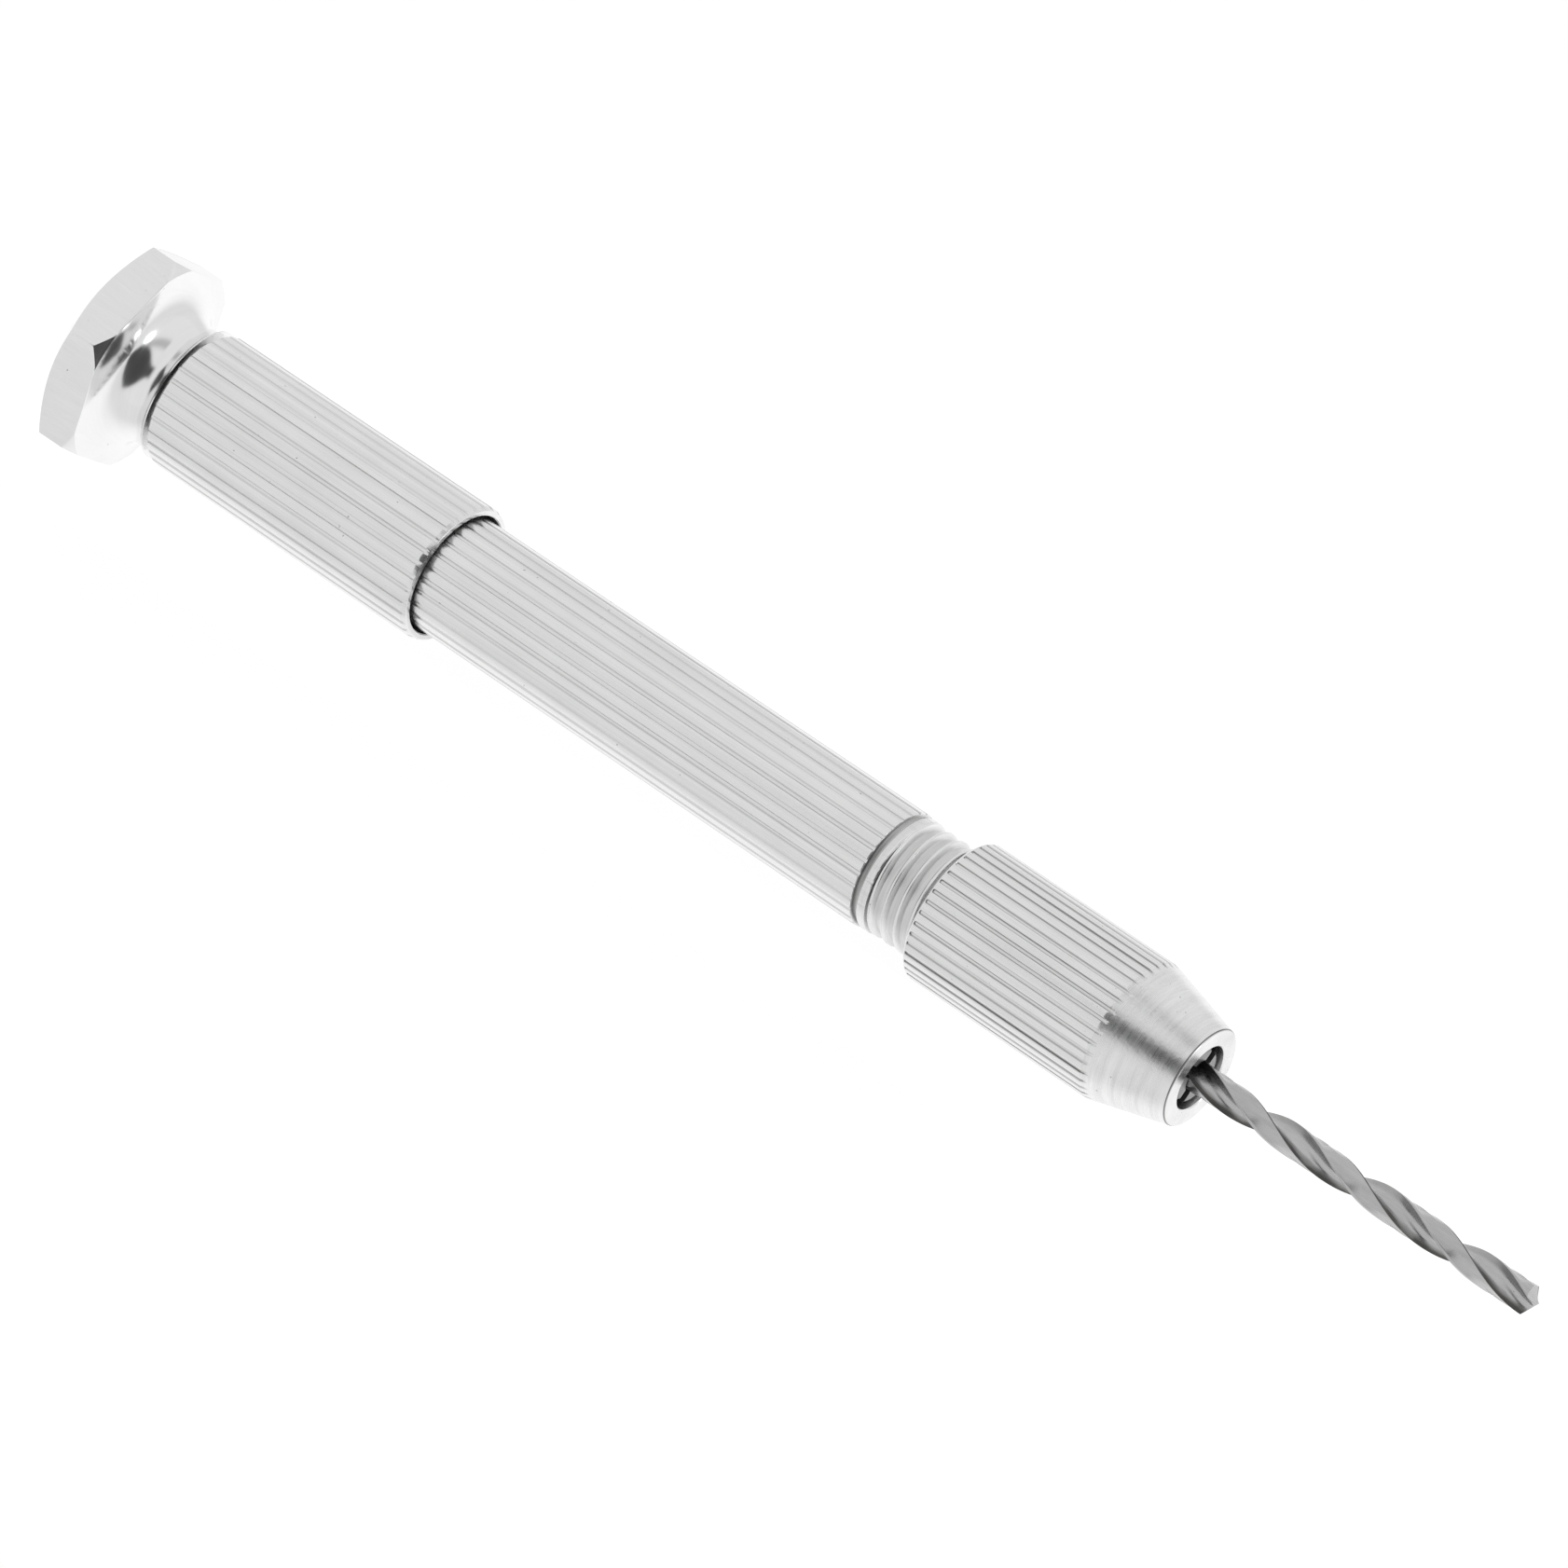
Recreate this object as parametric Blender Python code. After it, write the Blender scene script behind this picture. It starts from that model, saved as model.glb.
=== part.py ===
"""Pin vise drill: a hand drill with a swivelling hexagonal palm cap, a fluted tail sleeve screwed
to a fluted hollow barrel, a four-jaw split collet closed by a fluted chuck nut, and a twist bit.

The tool lies along X. The origin is the centre of the palm face, +X points to the bit's tip and
+Z is up, so the cap stands on one flat of its hexagon. All lengths are in metres.
"""

import math

import bmesh
import bpy
from mathutils import Matrix, Vector

# Stations along the tool, measured from the palm face
CAP_FRONT_X = 0.00835
SLEEVE_REAR_X = 0.0089
SLEEVE_WALL_X = 0.0124  # inner face of the sleeve's end wall
SLEEVE_STEP_X = 0.0282  # where the sleeve's counterbore meets its thread
SLEEVE_FRONT_X = 0.03625
BARREL_REAR_X = 0.0225  # rear end of the threaded spigot
BARREL_SHOULDER_X = 0.0285
BARREL_FLUTES_END_X = 0.0805
COLLAR_END_X = 0.0819
NECK_FRONT_X = 0.0925
NUT_REAR_X = 0.0865
NUT_CONE_X = 0.1037
NOSE_X = 0.11046
COLLET_REAR_X = 0.0760
JAW_ROOT_X = 0.0801
JAW_FRONT_X = 0.1099
BIT_TIP_X = 0.14185

# Hexagonal cap
HEX_ACROSS_FLATS = 0.01706
CAP_NECK_RADIUS = 0.00535
CAP_RIM_RADIUS = 0.00585

# Sleeve, barrel and chuck nut
SLEEVE_RADIUS = 0.00592
SLEEVE_MOUTH_RADIUS = 0.00525
SLEEVE_FLUTES = 32
BARREL_RADIUS = 0.0050
BARREL_BORE_RADIUS = 0.0032
BARREL_FLUTES = 28
NUT_RADIUS = 0.00596
NUT_FLUTES = 40
NUT_CONE_END_RADIUS = 0.0042
MOUTH_RADIUS = 0.00273
HANDLE_FLUTE_DEPTH = 0.00014
NUT_FLUTE_DEPTH = 0.00022
FLUTE_TOP_SHARE = 0.40  # share of the flute pitch that is cut away at the surface
FLUTE_FLOOR_SHARE = 0.22

# Threads, all right-handed. Each one is (pitch, root radius, crest radius).
NECK_THREAD = (0.00125, 0.00437, 0.0048)
TAIL_THREAD = (0.00125, 0.00375, 0.0042)
THREAD_ROOM = 0.00012  # radial and axial room of an inner thread around its outer thread
CREST_SHARE = 0.18  # flat crest as a share of the pitch
ROOT_SHARE = 0.34

# Collet and bit
BIT_RADIUS = 0.00125
BIT_LENGTH = 0.057
BIT_HELIX_PITCH = 0.0183
BIT_FLUTE_LENGTH = 0.0357
BIT_RUN_OUT = 0.0035  # where the flutes get shallower towards the shank
BIT_POINT_ANGLE = math.radians(118)
FLUTE_CUTTER_RADIUS = 0.00092
GRIP_RADIUS = 0.0013
COLLET_BORE_RADIUS = 0.0016
COLLET_RADIUS = 0.0030
JAW_SLOT = 0.0005
JAW_COUNT = 4

# Pivot of the cap
STUD_REAR_X = 0.0031
STUD_RADIUS = 0.0015
JOURNAL_RADIUS = 0.0019
STUD_GROOVE_RADIUS = 0.0014
STUD_END_X = 0.0146
CLIP_X = 0.0130
CLIP_THICKNESS = 0.0004

# Washers: (rear station, thickness, inner radius, outer radius)
CAP_WASHER = (0.00845, 0.00035, 0.0021, 0.0046)
THRUST_WASHER = (0.0125, 0.0004, 0.0021, 0.0036)

# How far each round piece happens to be turned about the tool's axis
COLLET_TURN = math.radians(24.3)
NUT_TURN = math.radians(2.0)
SLEEVE_TURN = math.radians(10.3)
BARREL_TURN = math.radians(5.0)
NECK_CREST_X = 0.08286  # a neck thread crest on the side that faces +Y
BIT_FLUTE_X = 0.11501  # where a flute of the bit faces +Y

SMOOTH_ANGLE = math.radians(32)


# ---------------------------------------------------------------- materials


def metal(name, colour, roughness):
    material = bpy.data.materials.new(name)
    material.use_nodes = True
    shader = material.node_tree.nodes["Principled BSDF"]
    shader.inputs["Base Color"].default_value = (*colour, 1.0)
    shader.inputs["Metallic"].default_value = 1.0
    shader.inputs["Roughness"].default_value = roughness
    return material


# ---------------------------------------------------------------- mesh helpers


def on_circle(x, radius, angle):
    """A point at this station and radius. Angle 0 faces +Y and a quarter turn faces +Z."""
    return Vector((x, radius * math.cos(angle), radius * math.sin(angle)))


def skin(rings, closed=False):
    """A closed mesh through rings of equal length: capped at both ends, or joined end to end."""
    bm = bmesh.new()
    loops = [[bm.verts.new(point) for point in ring] for ring in rings]
    pairs = list(zip(loops, loops[1:]))
    if closed:
        pairs.append((loops[-1], loops[0]))
    else:
        bm.faces.new(loops[0])
        bm.faces.new(loops[-1])
    for low, high in pairs:
        for i in range(len(low)):
            bm.faces.new((low[i - 1], low[i], high[i], high[i - 1]))
    return bm


def turned(outline, segments, closed=False):
    """A body of revolution about X. The outline lists (x, radius) points. A closed outline makes a
    ring, and an open one is capped by flat discs at its two ends."""
    angles = [2 * math.pi * i / segments for i in range(segments)]
    rings = [[on_circle(x, radius, angle) for angle in angles] for x, radius in outline]
    return skin(rings, closed)


def flute_angles(count, turn):
    """(angle, whether it lies on a flute's floor) for the four corners of each flute."""
    pitch = 2 * math.pi / count
    corners = []
    for k in range(count):
        centre = turn + k * pitch
        for share, deep in (
            (-FLUTE_TOP_SHARE, False),
            (-FLUTE_FLOOR_SHARE, True),
            (FLUTE_FLOOR_SHARE, True),
            (FLUTE_TOP_SHARE, False),
        ):
            corners.append((centre + share * pitch / 2, deep))
    return corners


def fluted(stations, corners):
    """A rod with straight flutes. Each station is (x, radius, floor radius), and the flutes reach
    down to the floor radius where the rod is thicker than that."""
    return skin(
        [
            [on_circle(x, min(radius, floor) if deep else radius, angle) for angle, deep in corners]
            for x, radius, floor in stations
        ]
    )


def threaded_rod(x_low, turns, thread, crest_x, room=0.0, segments=21):
    """A rod along X with a right-hand thread, longer than needed, for its blank to be cut from it.
    crest_x is a station where a crest faces +Y. room makes it a cutter for the inner thread."""
    pitch, root, crest = thread
    root_flat = ROOT_SHARE * pitch - room
    crest_flat = CREST_SHARE * pitch + room
    flank = (pitch - root_flat - crest_flat) / 2
    profile = (
        (0.0, root + room / 2),
        (root_flat, root + room / 2),
        (root_flat + flank, crest + room),
        (root_flat + flank + crest_flat, crest + room),
    )
    crest_offset = root_flat + flank + crest_flat / 2
    start = crest_x - crest_offset
    start -= pitch * math.ceil((start - x_low) / pitch)
    steps = segments * turns
    bm = bmesh.new()
    rows = []
    for i in range(steps + 1):
        angle = 2 * math.pi * i / segments
        base = start + pitch * i / segments
        rows.append([bm.verts.new(on_circle(base + dx, r, angle)) for dx, r in profile])
    for i in range(steps):
        for k in range(3):
            bm.faces.new((rows[i][k], rows[i + 1][k], rows[i + 1][k + 1], rows[i][k + 1]))
    for i in range(steps - segments):
        above = i + segments
        bm.faces.new((rows[i][3], rows[i + 1][3], rows[above + 1][0], rows[above][0]))
    low_loop = [rows[i][0] for i in range(segments + 1)] + rows[0][:0:-1]
    high_loop = [rows[i][3] for i in range(steps - segments, steps + 1)] + rows[steps][2::-1]
    for loop, centre_x in (
        (low_loop, start + pitch / 2),
        (high_loop, start + pitch * (turns + 0.5)),
    ):
        centre = bm.verts.new((centre_x, 0.0, 0.0))
        for i in range(len(loop)):
            bm.faces.new((loop[i - 1], loop[i], centre))
    return bm


def box_mesh(low, high):
    bm = bmesh.new()
    bmesh.ops.create_cube(bm, size=1.0)
    size = Vector(high) - Vector(low)
    middle = (Vector(high) + Vector(low)) / 2
    bmesh.ops.transform(
        bm, matrix=Matrix.Translation(middle) @ Matrix.Diagonal((*size, 1.0)), verts=bm.verts
    )
    return bm


def add_object(name, bm, origin=(0.0, 0.0, 0.0), material=None):
    """Puts a mesh built in world coordinates into the scene, with its origin at the given point."""
    bmesh.ops.recalc_face_normals(bm, faces=bm.faces)
    mesh = bpy.data.meshes.new(name)
    bm.to_mesh(mesh)
    bm.free()
    mesh.transform(Matrix.Translation(-Vector(origin)))
    mesh.shade_smooth()
    mesh.set_sharp_from_angle(angle=SMOOTH_ANGLE)
    obj = bpy.data.objects.new(name, mesh)
    obj.location = origin
    bpy.context.scene.collection.objects.link(obj)
    if material:
        mesh.materials.append(material)
    return obj


def add_helper(name, bm):
    """A cutter or blank, which shapes other pieces and isn't a piece itself."""
    helper = add_object(name, bm)
    helper.hide_render = True
    helper.display_type = "WIRE"
    return helper


def combine(obj, operation, other):
    modifier = obj.modifiers.new(f"{operation.lower()} {other.name}", "BOOLEAN")
    modifier.operation = operation
    modifier.solver = "EXACT"
    modifier.object = other


# ---------------------------------------------------------------- cap and its pivot


def hex_cap(material):
    """A hexagon with a 30 degree chamfer behind, a 45 degree one in front, and a turned cove."""
    corner_radius = HEX_ACROSS_FLATS / math.sqrt(3)
    past = 0.0003
    blank_radius = corner_radius + past
    palm_radius, rear_slope = 0.0077, 0.53
    cove_x, cove_radius, cove_steps = 0.0042, 0.00905, 7
    neck_x, rim_sweep, rim_steps = 0.0070, math.radians(80), 3
    hole_radius, hole_x = STUD_RADIUS + 0.00003, STUD_REAR_X - 0.0001
    outline = [
        (0.0, palm_radius),
        (rear_slope * (blank_radius - palm_radius), blank_radius),
        (cove_x - (blank_radius - cove_radius), blank_radius),
    ]
    for i in range(cove_steps + 1):
        turn = math.pi / 2 * i / cove_steps
        x = neck_x - (neck_x - cove_x) * math.cos(turn)
        outline.append((x, cove_radius - (cove_radius - CAP_NECK_RADIUS) * math.sin(turn)))
    for i in range(1, rim_steps + 1):
        turn = rim_sweep * i / rim_steps
        x = neck_x + (CAP_FRONT_X - neck_x) * math.sin(turn) / math.sin(rim_sweep)
        rise = (CAP_RIM_RADIUS - CAP_NECK_RADIUS) * (1 - math.cos(turn))
        outline.append((x, CAP_NECK_RADIUS + rise))
    outline += [(CAP_FRONT_X, hole_radius), (hole_x, hole_radius)]
    cap = add_object("hex_cap", turned(outline, 60), material=material)
    flats = [
        [on_circle(x, corner_radius, math.radians(60 * k)) for k in range(6)]
        for x in (-past, CAP_FRONT_X + past)
    ]
    combine(cap, "INTERSECT", add_helper("hexagon_bar", skin(flats)))
    return cap


def pivot_stud(material):
    """The cap's axle: pressed into the cap, a journal through the end wall, a groove for the clip."""
    shoulder_gap, clip_room, lip = 0.00005, 0.00004, 0.0002
    journal_x = CAP_FRONT_X + shoulder_gap
    groove_rear = CLIP_X - clip_room
    groove_front = CLIP_X + CLIP_THICKNESS + clip_room
    outline = [
        (STUD_REAR_X, STUD_RADIUS - lip),
        (STUD_REAR_X + lip, STUD_RADIUS),
        (journal_x, STUD_RADIUS),
        (journal_x, JOURNAL_RADIUS),
        (groove_rear, JOURNAL_RADIUS),
        (groove_rear, STUD_GROOVE_RADIUS),
        (groove_front, STUD_GROOVE_RADIUS),
        (groove_front, JOURNAL_RADIUS),
        (STUD_END_X - lip, JOURNAL_RADIUS),
        (STUD_END_X, JOURNAL_RADIUS - lip),
    ]
    return add_object("pivot_stud", turned(outline, 24), material=material)


def washer(name, size, material):
    x, thickness, inner, outer = size
    outline = [(x, inner), (x, outer), (x + thickness, outer), (x + thickness, inner)]
    return add_object(name, turned(outline, 28, closed=True), (x, 0.0, 0.0), material)


def retaining_clip(material):
    """An E-shaped snap ring: three prongs grip the stud's groove, and its mouth opens downwards."""
    mouth, steps = math.radians(56), 32
    prong_radius, relief_radius, outer_radius = 0.00145, 0.0021, 0.0031
    sweep = 2 * math.pi - mouth
    prongs, prong_share = (0.0, 0.5, 1.0), 0.07
    inner, outer = [], []
    for i in range(steps + 1):
        share = i / steps
        angle = -math.pi / 2 + mouth / 2 + sweep * share
        on_prong = min(abs(share - prong) for prong in prongs) < prong_share
        inner.append((prong_radius if on_prong else relief_radius, angle))
        outer.append((outer_radius, angle))
    contour = outer + inner[::-1]
    rings = [
        [on_circle(x, radius, angle) for radius, angle in contour]
        for x in (CLIP_X, CLIP_X + CLIP_THICKNESS)
    ]
    return add_object("retaining_clip", skin(rings), (CLIP_X, 0.0, 0.0), material)


# ---------------------------------------------------------------- handle


def tail_sleeve(material):
    """The fluted rear sleeve: an end wall for the cap's pivot, a thread, and a plain counterbore
    that the barrel's flutes run into."""
    edge, floor = 0.00025, SLEEVE_RADIUS - HANDLE_FLUTE_DEPTH
    stations = [
        (SLEEVE_REAR_X, SLEEVE_RADIUS - edge, floor),
        (SLEEVE_REAR_X + edge, SLEEVE_RADIUS, floor),
        (SLEEVE_FRONT_X - edge, SLEEVE_RADIUS, floor),
        (SLEEVE_FRONT_X, SLEEVE_RADIUS - edge, floor),
    ]
    corners = flute_angles(SLEEVE_FLUTES, SLEEVE_TURN)
    sleeve = add_object(
        "tail_sleeve", fluted(stations, corners), (SLEEVE_REAR_X, 0.0, 0.0), material
    )
    pitch, root, crest = TAIL_THREAD
    hole_radius = JOURNAL_RADIUS + 0.0001
    cavity_radius, cavity_x = crest + 0.0002, BARREL_REAR_X
    thread_radius = root + THREAD_ROOM
    past = 0.001
    bore = [
        (SLEEVE_REAR_X - past, hole_radius),
        (SLEEVE_WALL_X, hole_radius),
        (SLEEVE_WALL_X, cavity_radius),
        (cavity_x, cavity_radius),
        (cavity_x, thread_radius),
        (SLEEVE_STEP_X, thread_radius),
        (SLEEVE_STEP_X, SLEEVE_MOUTH_RADIUS),
        (SLEEVE_FRONT_X + past, SLEEVE_MOUTH_RADIUS),
    ]
    combine(sleeve, "DIFFERENCE", add_helper("sleeve_bore", turned(bore, 40)))
    turns = math.ceil((SLEEVE_STEP_X - cavity_x) / pitch) + 3
    tap = threaded_rod(cavity_x - pitch, turns, TAIL_THREAD, cavity_x, THREAD_ROOM)
    combine(sleeve, "DIFFERENCE", add_helper("sleeve_tap", tap))
    return sleeve


def threaded_end(name, x_low, x_high, thread, crest_x):
    """A length of outer thread with square, slightly chamfered ends."""
    pitch, root, crest = thread
    rod = threaded_rod(x_low - pitch, math.ceil((x_high - x_low) / pitch) + 3, thread, crest_x)
    end = add_helper(name, rod)
    lead = crest - root
    blank = [
        (x_low, root - lead / 2),
        (x_low + 1.5 * lead, crest + lead / 2),
        (x_high - 1.5 * lead, crest + lead / 2),
        (x_high, root - lead / 2),
    ]
    combine(end, "INTERSECT", add_helper(f"{name}_blank", turned(blank, 44)))
    return end


def barrel(material):
    """The hollow fluted barrel, with a threaded spigot behind and the threaded chuck neck in front."""
    floor = BARREL_RADIUS - HANDLE_FLUTE_DEPTH
    edge, recess_radius, recess_length = 0.0002, 0.00462, 0.0005
    collar_radius, collar_edge, collar_length = 0.00488, 0.0001, 0.0006
    collar_x = BARREL_FLUTES_END_X + recess_length
    stations = [
        (BARREL_SHOULDER_X, BARREL_RADIUS - edge, floor),
        (BARREL_SHOULDER_X + edge, BARREL_RADIUS, floor),
        (BARREL_FLUTES_END_X, BARREL_RADIUS, floor),
    ]
    collar = [
        (BARREL_FLUTES_END_X - edge, recess_radius),
        (collar_x, recess_radius),
        (collar_x + collar_edge, collar_radius),
        (collar_x + collar_length, collar_radius),
        (COLLAR_END_X, NECK_THREAD[1]),
    ]
    corners = flute_angles(BARREL_FLUTES, BARREL_TURN)
    body = add_object("barrel", fluted(stations, corners), material=material)
    spigot = threaded_end("spigot", BARREL_REAR_X, BARREL_SHOULDER_X + edge, TAIL_THREAD, BARREL_REAR_X)
    neck = threaded_end("neck", COLLAR_END_X - edge, NECK_FRONT_X, NECK_THREAD, NECK_CREST_X)
    for addition in (spigot, add_helper("collar", turned(collar, 48)), neck):
        combine(body, "UNION", addition)
    past, taper_x, taper_radius = 0.002, 0.0860, 0.00375
    bore = [
        (BARREL_REAR_X - past, BARREL_BORE_RADIUS),
        (taper_x, BARREL_BORE_RADIUS),
        (NECK_FRONT_X, taper_radius),
        (NECK_FRONT_X + past, taper_radius),
    ]
    combine(body, "DIFFERENCE", add_helper("barrel_bore", turned(bore, 40)))
    return body


# ---------------------------------------------------------------- chuck


def chuck_nut(material):
    """The fluted nut: a plain rim behind the flutes, a cone that the flutes run out on, an inner
    thread, and an inner cone down to the round mouth."""
    floor = NUT_RADIUS - NUT_FLUTE_DEPTH
    rim, step = 0.00022, 0.00001
    nose_edge = 0.00015
    slope = (NUT_RADIUS - NUT_CONE_END_RADIUS) / (NOSE_X - nose_edge - NUT_CONE_X)
    stations = [
        (NUT_REAR_X, NUT_RADIUS - rim, NUT_RADIUS),
        (NUT_REAR_X + rim, NUT_RADIUS, NUT_RADIUS),
        (NUT_REAR_X + rim + step, NUT_RADIUS, floor),
        (NUT_CONE_X, NUT_RADIUS, floor),
        (NUT_CONE_X + NUT_FLUTE_DEPTH / slope, floor, floor),
        (NOSE_X - nose_edge, NUT_CONE_END_RADIUS, NUT_RADIUS),
        (NOSE_X, NUT_CONE_END_RADIUS - nose_edge, NUT_RADIUS),
    ]
    corners = flute_angles(NUT_FLUTES, NUT_TURN)
    nut = add_object("chuck_nut", fluted(stations, corners), (NUT_REAR_X, 0.0, 0.0), material)
    pitch, root, crest = NECK_THREAD
    past, lead = 0.001, 0.0005
    thread_radius = root + THREAD_ROOM
    entry_radius = crest + THREAD_ROOM + 0.00005
    cone_x, mouth_x, mouth_edge = 0.1012, 0.1096, 0.00012
    bore = [
        (NUT_REAR_X - past, entry_radius),
        (NUT_REAR_X, entry_radius),
        (NUT_REAR_X + lead, thread_radius),
        (cone_x, thread_radius),
        (mouth_x, MOUTH_RADIUS),
        (NOSE_X - mouth_edge, MOUTH_RADIUS),
        (NOSE_X, MOUTH_RADIUS + mouth_edge),
        (NOSE_X + past, MOUTH_RADIUS + mouth_edge),
    ]
    combine(nut, "DIFFERENCE", add_helper("nut_bore", turned(bore, 40)))
    tap_turns = math.ceil((NECK_FRONT_X - NUT_REAR_X) / pitch) + 2
    tap = threaded_rod(NUT_REAR_X - pitch, tap_turns, NECK_THREAD, NECK_CREST_X, THREAD_ROOM)
    combine(nut, "DIFFERENCE", add_helper("nut_tap", tap))
    return nut


def collet_body(material):
    """The unsplit rear ring of the collet, which its jaws spring from."""
    front_x, lip = JAW_ROOT_X - 0.0001, 0.0003
    outline = [
        (COLLET_REAR_X, COLLET_BORE_RADIUS),
        (COLLET_REAR_X, COLLET_RADIUS - lip),
        (COLLET_REAR_X + lip, COLLET_RADIUS),
        (front_x, COLLET_RADIUS),
        (front_x, COLLET_BORE_RADIUS),
    ]
    return add_object(
        "collet_body", turned(outline, 32, closed=True), (COLLET_REAR_X, 0.0, 0.0), material
    )


def jaw_angle(number):
    return COLLET_TURN + math.radians(45) + number * 2 * math.pi / JAW_COUNT


def collet_jaw(number, material):
    """One quarter of the split collet: a springy stem, a head in front of the neck, and a cone."""
    stem_x, stem_end_radius = 0.0860, 0.00348
    head_x, head_radius, cone_x, nose_radius, lip = 0.0952, 0.00405, 0.1012, 0.00233, 0.0002
    relief_x, grip_x = 0.0985, 0.0993
    outline = [
        (JAW_ROOT_X, COLLET_BORE_RADIUS),
        (JAW_ROOT_X, COLLET_RADIUS),
        (stem_x, COLLET_RADIUS),
        (head_x - lip, stem_end_radius),
        (head_x, head_radius),
        (cone_x, head_radius),
        (JAW_FRONT_X - lip, nose_radius),
        (JAW_FRONT_X, nose_radius - lip),
        (JAW_FRONT_X, GRIP_RADIUS),
        (grip_x, GRIP_RADIUS),
        (relief_x, COLLET_BORE_RADIUS),
    ]
    angle = jaw_angle(number)
    root = on_circle(JAW_ROOT_X, (COLLET_RADIUS + COLLET_BORE_RADIUS) / 2, angle)
    jaw = add_object(f"collet_jaw_{number + 1}", turned(outline, 48, closed=True), root, material)
    past, reach = 0.001, 0.006
    quarter = box_mesh(
        (JAW_ROOT_X - past, JAW_SLOT / 2, JAW_SLOT / 2), (JAW_FRONT_X + past, reach, reach)
    )
    turn = Matrix.Rotation(angle - math.radians(45), 4, "X")
    bmesh.ops.transform(quarter, matrix=turn, verts=quarter.verts)
    combine(jaw, "INTERSECT", add_helper(f"jaw_quarter_{number + 1}", quarter))
    return jaw


def flute_section(depth):
    """(radius, angle) points round the bit: a land, then a round flute, twice. depth runs from 0
    for the plain shank to 1 for the full flute."""
    opening = math.asin(FLUTE_CUTTER_RADIUS / BIT_RADIUS)
    land_steps, flute_steps = 3, 4
    edge = 0.02
    land = math.pi - 2 * opening - 2 * edge
    half = []
    for i in range(flute_steps + 1):
        angle = opening * (2 * i / flute_steps - 1)
        chord = FLUTE_CUTTER_RADIUS**2 - (BIT_RADIUS * math.sin(angle)) ** 2
        radius = BIT_RADIUS * math.cos(angle) - math.sqrt(max(chord, 0.0))
        half.append((BIT_RADIUS + (radius - BIT_RADIUS) * depth, angle))
    for i in range(land_steps + 1):
        half.append((BIT_RADIUS, opening + edge + land * i / land_steps))
    return half + [(radius, angle + math.pi) for radius, angle in half]


def drill_bit(material):
    """A two-flute right-hand twist bit with a plain shank and a conical point."""
    flute_start = BIT_TIP_X - BIT_FLUTE_LENGTH
    shank_x = BIT_TIP_X - BIT_LENGTH
    point_slope = 1 / math.tan(BIT_POINT_ANGLE / 2)
    corner_x = BIT_TIP_X - BIT_RADIUS * point_slope
    lip, rings_per_turn = 0.0002, 20

    def section(x, depth, scale=1.0):
        twist = 2 * math.pi * (x - BIT_FLUTE_X) / BIT_HELIX_PITCH
        return [on_circle(x, r * scale, a + twist) for r, a in flute_section(depth)]

    def plain_section(x, scale=1.0):
        return [p + Vector((x - flute_start, 0, 0)) for p in section(flute_start, 0.0, scale)]

    rings = [plain_section(shank_x, 1 - lip / BIT_RADIUS), plain_section(shank_x + lip)]
    steps = round((corner_x - flute_start) / BIT_HELIX_PITCH * rings_per_turn)
    for i in range(steps):
        x = flute_start + (corner_x - flute_start) * i / steps
        rise = min((x - flute_start) / BIT_RUN_OUT, 1.0)
        rings.append(section(x, math.sin(rise * math.pi / 2)))
    point = []
    for radius, angle in flute_section(1.0):
        x = BIT_TIP_X - radius * point_slope
        point.append(on_circle(x, radius, angle + 2 * math.pi * (x - BIT_FLUTE_X) / BIT_HELIX_PITCH))
    rings.append(point)
    bm = skin(rings)
    bm.faces.ensure_lookup_table()
    end = max(bm.faces, key=lambda face: face.calc_center_median().x)
    tip = bmesh.ops.poke(bm, faces=[end])["verts"][0]
    tip.co = (BIT_TIP_X, 0.0, 0.0)
    return add_object("drill_bit", bm, (JAW_FRONT_X, 0.0, 0.0), material)


# ---------------------------------------------------------------- assembly


def clear_scene():
    for obj in list(bpy.data.objects):
        bpy.data.objects.remove(obj)


def build():
    clear_scene()
    aluminium = metal("brushed_aluminium", (0.80, 0.80, 0.81), 0.28)
    polished = metal("polished_aluminium", (0.86, 0.86, 0.87), 0.14)
    steel = metal("spring_steel", (0.42, 0.42, 0.43), 0.32)
    collet_steel = metal("collet_steel", (0.60, 0.60, 0.61), 0.25)
    bit_steel = metal("bit_steel", (0.46, 0.46, 0.46), 0.30)
    pieces = [
        hex_cap(polished),
        pivot_stud(steel),
        washer("cap_washer", CAP_WASHER, steel),
        tail_sleeve(aluminium),
        washer("thrust_washer", THRUST_WASHER, steel),
        retaining_clip(steel),
        barrel(aluminium),
        collet_body(collet_steel),
        chuck_nut(aluminium),
        drill_bit(bit_steel),
    ]
    pieces += [collet_jaw(number, collet_steel) for number in range(JAW_COUNT)]
    tool = bpy.data.objects.new("pin_vise_drill", None)
    bpy.context.scene.collection.objects.link(tool)
    for piece in pieces:
        piece.parent = tool


build()
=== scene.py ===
"""Looks of the pin vise drill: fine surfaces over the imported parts, brushed and turned metals,
a pale floor, soft studio light and the camera.

The tool lies along X with its palm cap at the origin and its bit towards +X. All lengths are in
metres. Angles about the tool's axis run from +Y towards +Z.
"""

import math
import random

import bmesh
import bpy
from mathutils import Matrix, Vector


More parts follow.
